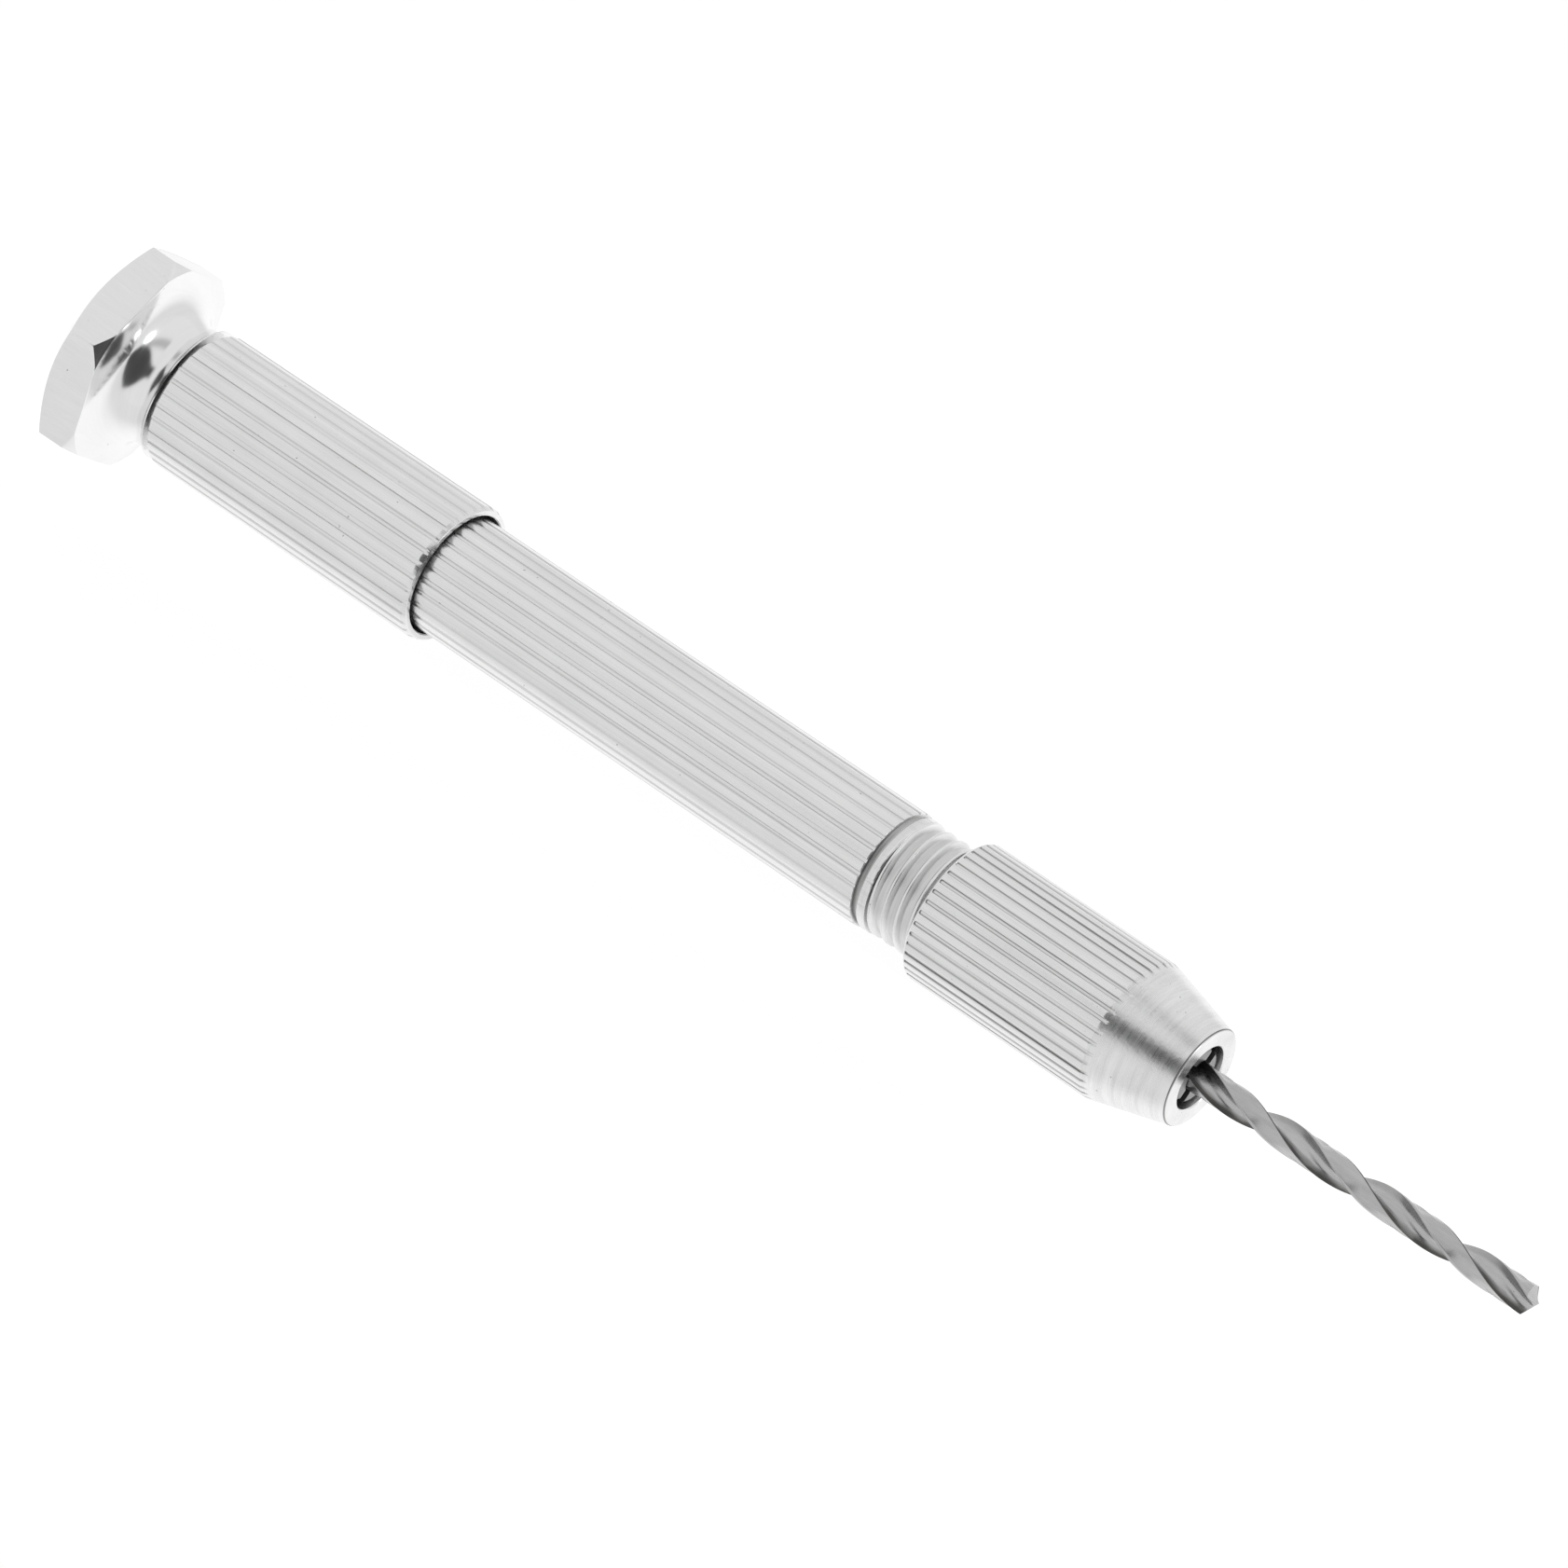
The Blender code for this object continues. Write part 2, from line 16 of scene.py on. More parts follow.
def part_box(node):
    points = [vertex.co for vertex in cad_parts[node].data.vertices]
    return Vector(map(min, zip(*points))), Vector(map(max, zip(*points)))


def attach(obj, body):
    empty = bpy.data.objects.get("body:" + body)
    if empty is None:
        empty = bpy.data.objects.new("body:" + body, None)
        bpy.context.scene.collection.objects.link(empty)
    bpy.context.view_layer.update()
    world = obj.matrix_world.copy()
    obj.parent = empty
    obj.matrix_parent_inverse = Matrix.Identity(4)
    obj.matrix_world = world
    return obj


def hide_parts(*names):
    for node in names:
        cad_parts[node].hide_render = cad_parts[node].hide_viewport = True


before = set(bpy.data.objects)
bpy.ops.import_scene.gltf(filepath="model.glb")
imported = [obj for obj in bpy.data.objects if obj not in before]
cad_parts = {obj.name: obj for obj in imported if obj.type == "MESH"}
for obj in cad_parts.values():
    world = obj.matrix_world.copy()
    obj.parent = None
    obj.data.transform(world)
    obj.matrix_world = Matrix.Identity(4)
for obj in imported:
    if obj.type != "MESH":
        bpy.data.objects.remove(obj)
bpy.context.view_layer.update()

TAU = 2 * math.pi

# ---------------------------------------------------------------- sizes, from the frame


def low_x(node):
    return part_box(node)[0].x


def high_x(node):
    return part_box(node)[1].x


CAP_FRONT_X = high_x("hex_cap")
HEX_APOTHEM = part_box("hex_cap")[1].z
SLEEVE_REAR_X = low_x("tail_sleeve")
SLEEVE_FRONT_X = high_x("tail_sleeve")
BARREL_REAR_X = low_x("barrel")
NECK_FRONT_X = high_x("barrel")
NUT_REAR_X = low_x("chuck_nut")
NOSE_X = high_x("chuck_nut")
JAW_ROOT_X = low_x("collet_jaw_1")
BIT_REAR_X = low_x("drill_bit")
BIT_TIP_X = high_x("drill_bit")

# Cap
HEX_CORNER_ROUNDING = 0.00022
PALM_RADIUS = 0.0077
REAR_SLOPE = 0.53  # axial rise of the rear chamfer for each unit of radius
COVE_X = 0.0042
COVE_RADIUS = 0.00905
CAP_NECK_X = 0.0070
CAP_NECK_RADIUS = 0.00535
CAP_RIM_RADIUS = 0.00585
CAP_RIM_SWEEP = math.radians(80)  # how far round its arc the flare runs up to the rim
CAP_EDGE = 0.00007
COVE_TOLERANCE = 0.006  # share of the cove's size within which a point counts as on it
STUD_HOLE_RADIUS = 0.0021  # clears the stud when the cap leans
STUD_HOLE_X = 0.0030
CAP_LEAN = math.radians(5.5)
LEAN_TOWARD = math.radians(114.0)  # the side where the rim is nearest the sleeve
LEAN_GAP = 0.0002

# Sleeve and barrel
SLEEVE_RADIUS = 0.00592
SLEEVE_WALL_X = SLEEVE_REAR_X + 0.0035
SLEEVE_STEP_X = 0.0282
SLEEVE_MOUTH_RADIUS = 0.00525
SLEEVE_HOLE_RADIUS = 0.0020
SLEEVE_FLUTES = 32
BARREL_RADIUS = 0.0050
BARREL_BORE_RADIUS = 0.0032
BARREL_TAPER_X = 0.0860  # the bore opens from here into a taper for the collet
BARREL_TAPER_RADIUS = 0.00375
BARREL_SHOULDER_X = 0.0285
BARREL_FLUTES_END_X = 0.0805
COLLAR_X = BARREL_FLUTES_END_X + 0.00054
COLLAR_END_X = 0.0818
RECESS_RADIUS = 0.00462
COLLAR_RADIUS = 0.00488
BARREL_FLUTES = 28
HANDLE_FLUTE_DEPTH = 0.00014

# Chuck nut
NUT_RADIUS = 0.00596
NUT_CONE_X = 0.1037
NUT_CONE_END_RADIUS = 0.0042
NUT_RIM = 0.00022
NUT_NOSE_EDGE = 0.00013
NUT_THREAD_END_X = 0.0940
NUT_CHAMBER_END_X = 0.1012
MOUTH_REAR_X = 0.1096
MOUTH_RADIUS = 0.00273
NUT_FLUTES = 40
NUT_FLUTE_DEPTH = 0.00017

# Threads: (pitch, root radius, crest radius)
NECK_THREAD = (0.00125, 0.00437, 0.0048)
TAIL_THREAD = (0.00125, 0.00375, 0.0042)
THREAD_ROOM = 0.00012
LEAD_DROP = 0.0001  # how far a screw's lead-in starts below its root
LEAD_SLOPE = 0.9
NECK_CREST_X = 0.08286  # a neck crest on the side that faces +Y

# Collet and bit
COLLET_RADIUS = 0.0030
COLLET_BORE_RADIUS = 0.0016
GRIP_RADIUS = 0.0013
GRIP_X = 0.0993  # the bore narrows to the grip between its end and here
COLLET_BORE_END_X = 0.0985
COLLET_SHANK_END_X = 0.0860
JAW_HEAD_X = 0.0952
JAW_HEAD_REAR_RADIUS = 0.00348
JAW_HEAD_RADIUS = 0.00405
JAW_CONE_X = 0.1012
JAW_FRONT_X = NOSE_X - 0.0003
JAW_FRONT_RADIUS = 0.00213
JAW_SLOT = 0.0005
JAW_SLOT_WIDENING = 0.0005
BIT_RADIUS = 0.00125
BIT_HELIX_PITCH = 0.0183
BIT_FLUTE_LENGTH = 0.0357
BIT_FLUTE_X = 0.11501  # where a flute of the bit faces +Y
BIT_RUN_OUT = 0.0035  # length over which the flutes rise out of the shank
BIT_CUTTER_RADIUS = 0.00092  # of the round flutes
BIT_POINT_HALF_ANGLE = math.radians(59)
BIT_LIP_RELIEF = math.radians(12)
BIT_POINT_LENGTH = 0.0014
BIT_REAR_CHAMFER = 0.0002

# How far each round piece is turned about the tool's axis
COLLET_TURN = math.radians(24.3)
NUT_TURN = math.radians(2.0)
SLEEVE_TURN = math.radians(10.3)
BARREL_TURN = math.radians(5.0)

# Dirt, painted shade and dark metal
GROOVE = "groove"  # vertex attribute: how much dirt and painted shade lies there
ROOT_SHADE = 0.3  # groove value along the roots of a thread: painted shade
RECESS_SHADE = 0.9  # groove value in the recess behind the collar: painted shade
MOUTH_SHADOW = 2.4  # groove value of the ragged band of painted shadow in front of the sleeve's mouth
MOUTH_SHADOW_LENGTH = 0.0012


# ---------------------------------------------------------------- mesh helpers


def on_circle(x, radius, angle):
    return Vector((x, radius * math.cos(angle), radius * math.sin(angle)))


def smooth_step(low, high, value):
    share = min(max((value - low) / (high - low), 0.0), 1.0)
    return share * share * (3 - 2 * share)


def soft_min(a, b, blend):
    """The smaller of two radii, rounded over where they are within a blend of each other."""
    share = max(blend - abs(a - b), 0.0) / blend
    return min(a, b) - share * share * blend / 4


def new_mesh():
    bm = bmesh.new()
    bm.verts.layers.float.new(GROOVE)
    return bm


def tube(bm, rings, shades=None):
    """An open tube through rings of equal length. Returns its first and last loop. shades holds
    the groove value of every point of every ring."""
    loops = [[bm.verts.new(point) for point in ring] for ring in rings]
    layer = bm.verts.layers.float[GROOVE]
    for loop, values in zip(loops, shades or ()):
        for vert, value in zip(loop, values):
            vert[layer] = value
    for low, high in zip(loops, loops[1:]):
        for i in range(len(low)):
            bm.faces.new((low[i - 1], low[i], high[i], high[i - 1]))
    return loops[0], loops[-1]


def loop_edges(bm, loop):
    return [bm.edges.get((loop[i - 1], loop[i])) for i in range(len(loop))]


def bridge(bm, first, second):
    """A ring of faces between two loops round the axis. Each is a list of edges."""
    loops = []
    for edges in (first, second):
        verts = {vert for edge in edges for vert in edge.verts}
        turns = sorted(((math.atan2(v.co.z, v.co.y), v) for v in verts), key=lambda pair: pair[0])
        loops.append(turns + [(turns[0][0] + TAU, turns[0][1])])
    one, two = loops
    i = j = 0
    while i < len(one) - 1 or j < len(two) - 1:
        if j == len(two) - 1 or (i < len(one) - 1 and one[i + 1][0] <= two[j + 1][0]):
            bm.faces.new((one[i][1], one[i + 1][1], two[j][1]))
            i += 1
        else:
            bm.faces.new((one[i][1], two[j + 1][1], two[j][1]))
            j += 1


def circles(outline, segments):
    """Rings for a plain turned surface through (x, radius) points."""
    return [[on_circle(x, r, TAU * i / segments) for i in range(segments)] for x, r in outline]


def rounded(outline, radius, steps=3, closed=False):
    """The outline with its corners cut by small curves that start this far from each corner."""
    count = len(outline)
    points = []
    for i, here in enumerate(outline):
        if not closed and i in (0, count - 1):
            points.append(tuple(here))
            continue
        before = Vector(outline[i - 1])
        corner = Vector(here)
        after = Vector(outline[(i + 1) % count])
        back, ahead = before - corner, after - corner
        reach_back = min(radius, 0.4 * back.length)
        reach_ahead = min(radius, 0.4 * ahead.length)
        start = corner + back.normalized() * reach_back
        end = corner + ahead.normalized() * reach_ahead
        for k in range(steps + 1):
            t = k / steps
            points.append(tuple((1 - t) ** 2 * start + 2 * t * (1 - t) * corner + t * t * end))
    return points


def thread_profile(thread, room):
    """(axial offset, radius) points over one pitch of a rounded thread, centred on its crest."""
    pitch, root, crest = thread
    crest_half = 0.08 * pitch + room / 2
    root_half = 0.25 * pitch - room / 2
    low, high = root + room / 2, crest + room
    corners = [
        (-pitch / 2, low),
        (-pitch / 2 + root_half, low),
        (-crest_half, high),
        (crest_half, high),
        (pitch / 2 - root_half, low),
        (pitch / 2, low),
    ]
    return rounded(corners, 0.00005)[:-1]


def screw(bm, x_low, x_high, thread, crest_x, room=0.0, taper=None, columns=120):
    """A right-handed thread between two planes. Its rows follow the helix, and both ends are
    trimmed. taper gives the largest radius at a station. Returns the edges of its end loops."""
    pitch = thread[0]
    profile = thread_profile(thread, room)
    rows_per_turn = len(profile)
    first = math.floor((x_low - crest_x) / pitch) - 2
    turns = math.ceil((x_high - x_low) / pitch) + 4
    layer = bm.verts.layers.float[GROOVE]
    grid = []
    for turn in range(turns):
        for offset, radius in profile:
            row = []
            for j in range(columns):
                x = crest_x + (first + turn + j / columns) * pitch + offset
                r = min(radius, taper(x)) if taper else radius
                vert = bm.verts.new(on_circle(x, r, TAU * j / columns))
                # The thread's roots are painted dark: painted shade.
                vert[layer] = ROOT_SHADE * smooth_step(thread[2] + room, thread[1] + room, radius)
                row.append(vert)
            grid.append(row)
    faces = []
    for i, (row, above) in enumerate(zip(grid, grid[1:])):
        for j in range(columns - 1):
            faces.append(bm.faces.new((row[j], row[j + 1], above[j + 1], above[j])))
        seam = i + rows_per_turn
        if seam + 1 < len(grid):
            faces.append(bm.faces.new((row[-1], grid[seam][0], grid[seam + 1][0], above[-1])))
    for x, side in ((x_low, -1), (x_high, 1)):
        verts = {v for face in faces for v in face.verts}
        edges = {e for face in faces for e in face.edges}
        cut = bmesh.ops.bisect_plane(
            bm,
            geom=faces + list(edges) + list(verts),
            dist=1e-8,
            plane_co=(x, 0.0, 0.0),
            plane_no=(side, 0.0, 0.0),
            clear_outer=True,
        )
        faces = [f for f in cut["geom"] if isinstance(f, bmesh.types.BMFace) and f.is_valid]

    def end_loop(x):
        return [
            e for e in bm.edges if e.is_boundary and all(abs(v.co.x - x) < 1e-7 for v in e.verts)
        ]

    loops = end_loop(x_low), end_loop(x_high)
    loose = [v for v in bm.verts if not v.link_faces]
    bmesh.ops.delete(bm, geom=loose, context="VERTS")
    return loops


def finish_mesh(name, bm, materials, choose=None, sharp=34.0):
    """An object from a mesh. choose(face) gives the number of a face's material."""
    bmesh.ops.recalc_face_normals(bm, faces=bm.faces)
    if choose:
        for face in bm.faces:
            face.material_index = choose(face)
    mesh = bpy.data.meshes.new(name)
    bm.to_mesh(mesh)
    bm.free()
    mesh.shade_smooth()
    mesh.set_sharp_from_angle(angle=math.radians(sharp))
    for material in materials:
        mesh.materials.append(material)
    obj = bpy.data.objects.new(name, mesh)
    bpy.context.scene.collection.objects.link(obj)
    return obj


def place(obj, body, slot, *nodes):
    """Rides a piece on its body in the place of CAD nodes."""
    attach(obj, body)
    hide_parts(*nodes)


# ---------------------------------------------------------------- flutes


def flute_columns(count, turn, seed):
    """(angle, depth share, place in its pitch from -0.5 to 0.5, groove value) for every mesh column
    round a fluted piece. The flutes differ a little in place, width and depth, as cut flutes do."""
    rng = random.Random(seed)
    pitch = TAU / count
    columns = []
    for k in range(count):
        centre = turn + (k + rng.uniform(-0.03, 0.03)) * pitch
        top = 0.20 * rng.uniform(0.86, 1.10)
        floor = 0.11 * rng.uniform(0.75, 1.15)
        deep = rng.uniform(0.78, 1.10)
        middle = (top + floor) / 2
        # The third number of each point is its groove value: the metal is painted darker along the
        # flute's walls and edges, by a random amount on each side.
        side = [
            (0.0, 1.0, 0.1),
            (floor - 0.02, 1.0, 0.35),
            (floor + 0.012, 0.90, 1.0),
            (middle, 0.5, 1.0),
            (top - 0.012, 0.10, 0.5),
            (top + 0.02, 0.0, 0.0),
            (0.36, 0.0, 0.0),
        ]
        left, right = rng.uniform(0.3, 1.0), rng.uniform(0.3, 1.0)
        columns.append((centre - pitch / 2, 0.0, -0.5, 0.0))
        columns += [(centre - u * pitch, d * deep, -u, g * left) for u, d, g in side[:0:-1]]
        columns += [(centre + u * pitch, d * deep, u, g * right) for u, d, g in side]
    return columns


def fluted_rings(outline, body_radius, depth, columns, start=None):
    """Rings of a fluted piece and their groove values. The flutes cut into body_radius, and a ring
    is no thicker than the outline's radius there. start(u) gives the station where a flute begins,
    for flutes with a closed end."""
    rings, shades = [], []
    for x, radius in outline:
        ring, values = [], []
        for angle, deep, u, groove in columns:
            if start:
                deep *= smooth_step(start(u) - 0.00003, start(u) + 0.00005, x)
            floor = body_radius - depth * deep
            ring.append(on_circle(x, soft_min(radius, floor, 0.00004), angle))
            cut = smooth_step(0.0, 0.5, (radius - floor) / depth)
            values.append(groove * max(cut, 0.4 * smooth_step(0.0, 0.1, deep) * (radius >= floor)))
        rings.append(ring)
        shades.append(values)
    return rings, shades


def turned_face(face):
    """1 for the faces of a fluted piece that look along the tool, which are turned, not drawn."""
    return int(abs(face.normal.x) > 0.5)


# ---------------------------------------------------------------- cap


def hexagon_reach(angle):
    """Distance from the axis to the hexagon's rounded outline. A flat faces -Z."""
    corner = TAU / 12
    offset = (angle + TAU / 4 + corner) % (TAU / 6) - corner
    centre = (HEX_APOTHEM - HEX_CORNER_ROUNDING) / math.cos(corner)
    plain = HEX_APOTHEM / math.cos(offset)
    turn = corner - abs(offset)
    if centre * math.sin(turn) > HEX_CORNER_ROUNDING:
        return plain
    half_chord = math.sqrt(HEX_CORNER_ROUNDING**2 - (centre * math.sin(turn)) ** 2)
    return min(plain, centre * math.cos(turn) + half_chord)


def cap_section(reach_out):
    """(x, radius) points from the palm face's edge to the rim, where the hexagon reaches so far."""

    def cove(turn):
        return Vector((
            CAP_NECK_X - (CAP_NECK_X - COVE_X) * math.cos(turn),
            COVE_RADIUS - (COVE_RADIUS - CAP_NECK_RADIUS) * math.sin(turn),
        ))

    rear = Vector((REAR_SLOPE * (reach_out - PALM_RADIUS), reach_out))
    edge = CAP_EDGE
    edge_turn = edge / (COVE_RADIUS - CAP_NECK_RADIUS)
    if reach_out > COVE_RADIUS:
        front = Vector((COVE_X - (reach_out - COVE_RADIUS), reach_out))
        corner_turn = 0.0
        corner = cove(0.0)
        leave = front.lerp(corner, min(edge / max((corner - front).length, edge), 0.4))
        between = (leave + corner) / 2
    else:
        start = math.asin((COVE_RADIUS - reach_out) / (COVE_RADIUS - CAP_NECK_RADIUS))
        front = cove(start)
        corner_turn = start + 2 * edge_turn + 0.3 * start
        corner = cove(corner_turn)
        leave = cove(start + edge_turn)
        between = cove((start + edge_turn + corner_turn) / 2)
    points = [Vector((0.0, PALM_RADIUS - 0.0003))]
    for before, here, after in (
        (points[0], Vector((0.0, PALM_RADIUS)), rear),
        (Vector((0.0, PALM_RADIUS)), rear, front),
        (rear, front, corner),
    ):
        back, ahead = (before - here), (after - here)
        a = here + back.normalized() * min(edge, 0.4 * back.length)
        b = leave if here is front else here + ahead.normalized() * min(edge, 0.4 * ahead.length)
        points += [a, (a + 2 * here + b) / 4, b]
        if here is rear:
            points += [b.lerp(front, share) for share in (0.25, 0.5, 0.75)]
    points.append(between)
    steps = 22
    points += [cove(corner_turn + (TAU / 4 - corner_turn) * i / steps) for i in range(steps)]
    flare_length = CAP_FRONT_X - 0.00012 - CAP_NECK_X
    flare_rise = CAP_RIM_RADIUS - CAP_NECK_RADIUS
    for i in range(9):
        turn = CAP_RIM_SWEEP * i / 8
        x = CAP_NECK_X + flare_length * math.sin(turn) / math.sin(CAP_RIM_SWEEP)
        r = CAP_NECK_RADIUS + flare_rise * (1 - math.cos(turn)) / (1 - math.cos(CAP_RIM_SWEEP))
        points.append(Vector((x, r)))
    points += [
        Vector((CAP_FRONT_X - 0.00004, CAP_RIM_RADIUS - 0.00003)),
        Vector((CAP_FRONT_X, CAP_RIM_RADIUS - 0.00012)),
    ]
    return points


def cove_normals(mesh):
    """Gives the cove the exact normals of a turned surface, for clean reflections."""
    depth, drop = CAP_NECK_X - COVE_X, COVE_RADIUS - CAP_NECK_RADIUS
    normals = [normal.vector.copy() for normal in mesh.corner_normals]
    for face in mesh.polygons:
        points = [mesh.vertices[i].co for i in face.vertices]
        turns = []
        for p in points:
            radius = math.hypot(p.y, p.z)
            across, down = (CAP_NECK_X - p.x) / depth, (COVE_RADIUS - radius) / drop
            off = abs(math.hypot(across, down) - 1.0)
            if off > COVE_TOLERANCE or p.x > CAP_NECK_X + 1e-6:
                break
            turns.append((across / depth, down / drop, p.y / radius, p.z / radius))
        if len(turns) == len(points):
            for loop, (along, out, y, z) in zip(face.loop_indices, turns):
                normals[loop] = Vector((along, out * y, out * z)).normalized()
    mesh.normals_split_custom_set(normals)


def cap_lean():
    """The cap leans on its stud: its rim nearly touches the sleeve on one side."""
    side = Vector((0.0, math.cos(LEAN_TOWARD), math.sin(LEAN_TOWARD)))
    hinge = Vector((CAP_FRONT_X, 0.0, 0.0))
    swing = Matrix.Rotation(CAP_LEAN, 4, side.cross(Vector((1.0, 0.0, 0.0))))
    rim_gap = SLEEVE_REAR_X - CAP_FRONT_X - CAP_RIM_RADIUS * math.sin(CAP_LEAN)
    shift = Vector((rim_gap - LEAN_GAP, 0.0, 0.0))
    return Matrix.Translation(shift + hinge) @ swing @ Matrix.Translation(-hinge)


def palm_cap(materials):
    """The hexagonal cap: chamfered flats, a turned cove, a flared rim and its stud's hole. It
    leans on the stud, as in the photograph."""
    sector = TAU / 6
    near_corner = [0.0, 0.004, 0.009, 0.016, 0.026, 0.04]
    spread = [0.04 + (sector - 0.08) * i / 34 for i in range(1, 34)]
    offsets = near_corner + spread + [sector - o for o in near_corner[:0:-1]]
    first_corner = -TAU / 4 + TAU / 12
    angles = [first_corner + sector * k + o for k in range(6) for o in offsets]
    sections = [cap_section(hexagon_reach(angle)) for angle in angles]
    rings = [
        [on_circle(section[i].x, section[i].y, angle) for section, angle in zip(sections, angles)]
        for i in range(len(sections[0]))
    ]

    def circle(x, radius):
        return [on_circle(x, radius, angle) for angle in angles]

    rings = [circle(0.0, PALM_RADIUS * s) for s in (0.02, 0.3, 0.6)] + rings
    rings += [circle(CAP_FRONT_X, STUD_HOLE_RADIUS), circle(STUD_HOLE_X, STUD_HOLE_RADIUS)]
    bm = new_mesh()
    first, last = tube(bm, rings)
    bm.faces.new(first)
    bm.faces.new(last)

    def on_flat(face):
        middle = face.calc_center_median()
        return int(abs(face.normal.x) > 0.02 or middle.x > COVE_X + 0.001)

    cap = finish_mesh("palm_cap", bm, materials, on_flat)
    cove_normals(cap.data)
    cap.data.transform(cap_lean())
    place(cap, "cap", "polished_aluminium", "hex_cap")
    return cap


# ---------------------------------------------------------------- handle


def rear_sleeve(materials):
    """The fluted tail sleeve, with its counterbore, thread, washer chamber and end wall."""
    columns = flute_columns(SLEEVE_FLUTES, SLEEVE_TURN, 11)
    edge = 0.00025
    outline = rounded(
        [
            (SLEEVE_REAR_X, SLEEVE_RADIUS - 2 * edge),
            (SLEEVE_REAR_X, SLEEVE_RADIUS - edge),
            (SLEEVE_REAR_X + edge, SLEEVE_RADIUS),
            (SLEEVE_FRONT_X - 0.00045, SLEEVE_RADIUS),
            (SLEEVE_FRONT_X - 0.00002, SLEEVE_RADIUS - 0.00019),
            (SLEEVE_FRONT_X, SLEEVE_MOUTH_RADIUS + 0.0002),
            (SLEEVE_FRONT_X, SLEEVE_MOUTH_RADIUS + 0.0001),
        ],
        0.00007,
    )
    outer = fluted_rings(outline, SLEEVE_RADIUS, HANDLE_FLUTE_DEPTH, columns)
    crest = TAIL_THREAD[2]
    bm = new_mesh()
    thread_low, thread_high = screw(
        bm, BARREL_REAR_X, SLEEVE_STEP_X, TAIL_THREAD, BARREL_REAR_X, THREAD_ROOM
    )
    skin_low, skin_high = tube(bm, *outer)
    mouth = rounded(
        [
            (SLEEVE_FRONT_X, SLEEVE_MOUTH_RADIUS + 0.00009),
            (SLEEVE_FRONT_X - 0.00009, SLEEVE_MOUTH_RADIUS),
            (SLEEVE_STEP_X, SLEEVE_MOUTH_RADIUS),
            (SLEEVE_STEP_X, crest + 0.0004),
        ],
        0.00003,
    )
    mouth_low, mouth_high = tube(bm, circles(mouth, 144))
    chamber_radius = crest + 0.0002
    chamber = [
        (BARREL_REAR_X, chamber_radius),
        (SLEEVE_WALL_X, chamber_radius),
        (SLEEVE_WALL_X, SLEEVE_HOLE_RADIUS),
        (SLEEVE_REAR_X, SLEEVE_HOLE_RADIUS),
    ]
    chamber_low, chamber_high = tube(bm, circles(chamber, 96))
    bridge(bm, loop_edges(bm, skin_high), loop_edges(bm, mouth_low))
    bridge(bm, loop_edges(bm, mouth_high), thread_high)
    bridge(bm, thread_low, loop_edges(bm, chamber_low))
    bridge(bm, loop_edges(bm, chamber_high), loop_edges(bm, skin_low))
    sleeve = finish_mesh("fluted_tail_sleeve", bm, materials, turned_face)
    place(sleeve, "tail_sleeve", "fluted_aluminium", "tail_sleeve")
    return sleeve


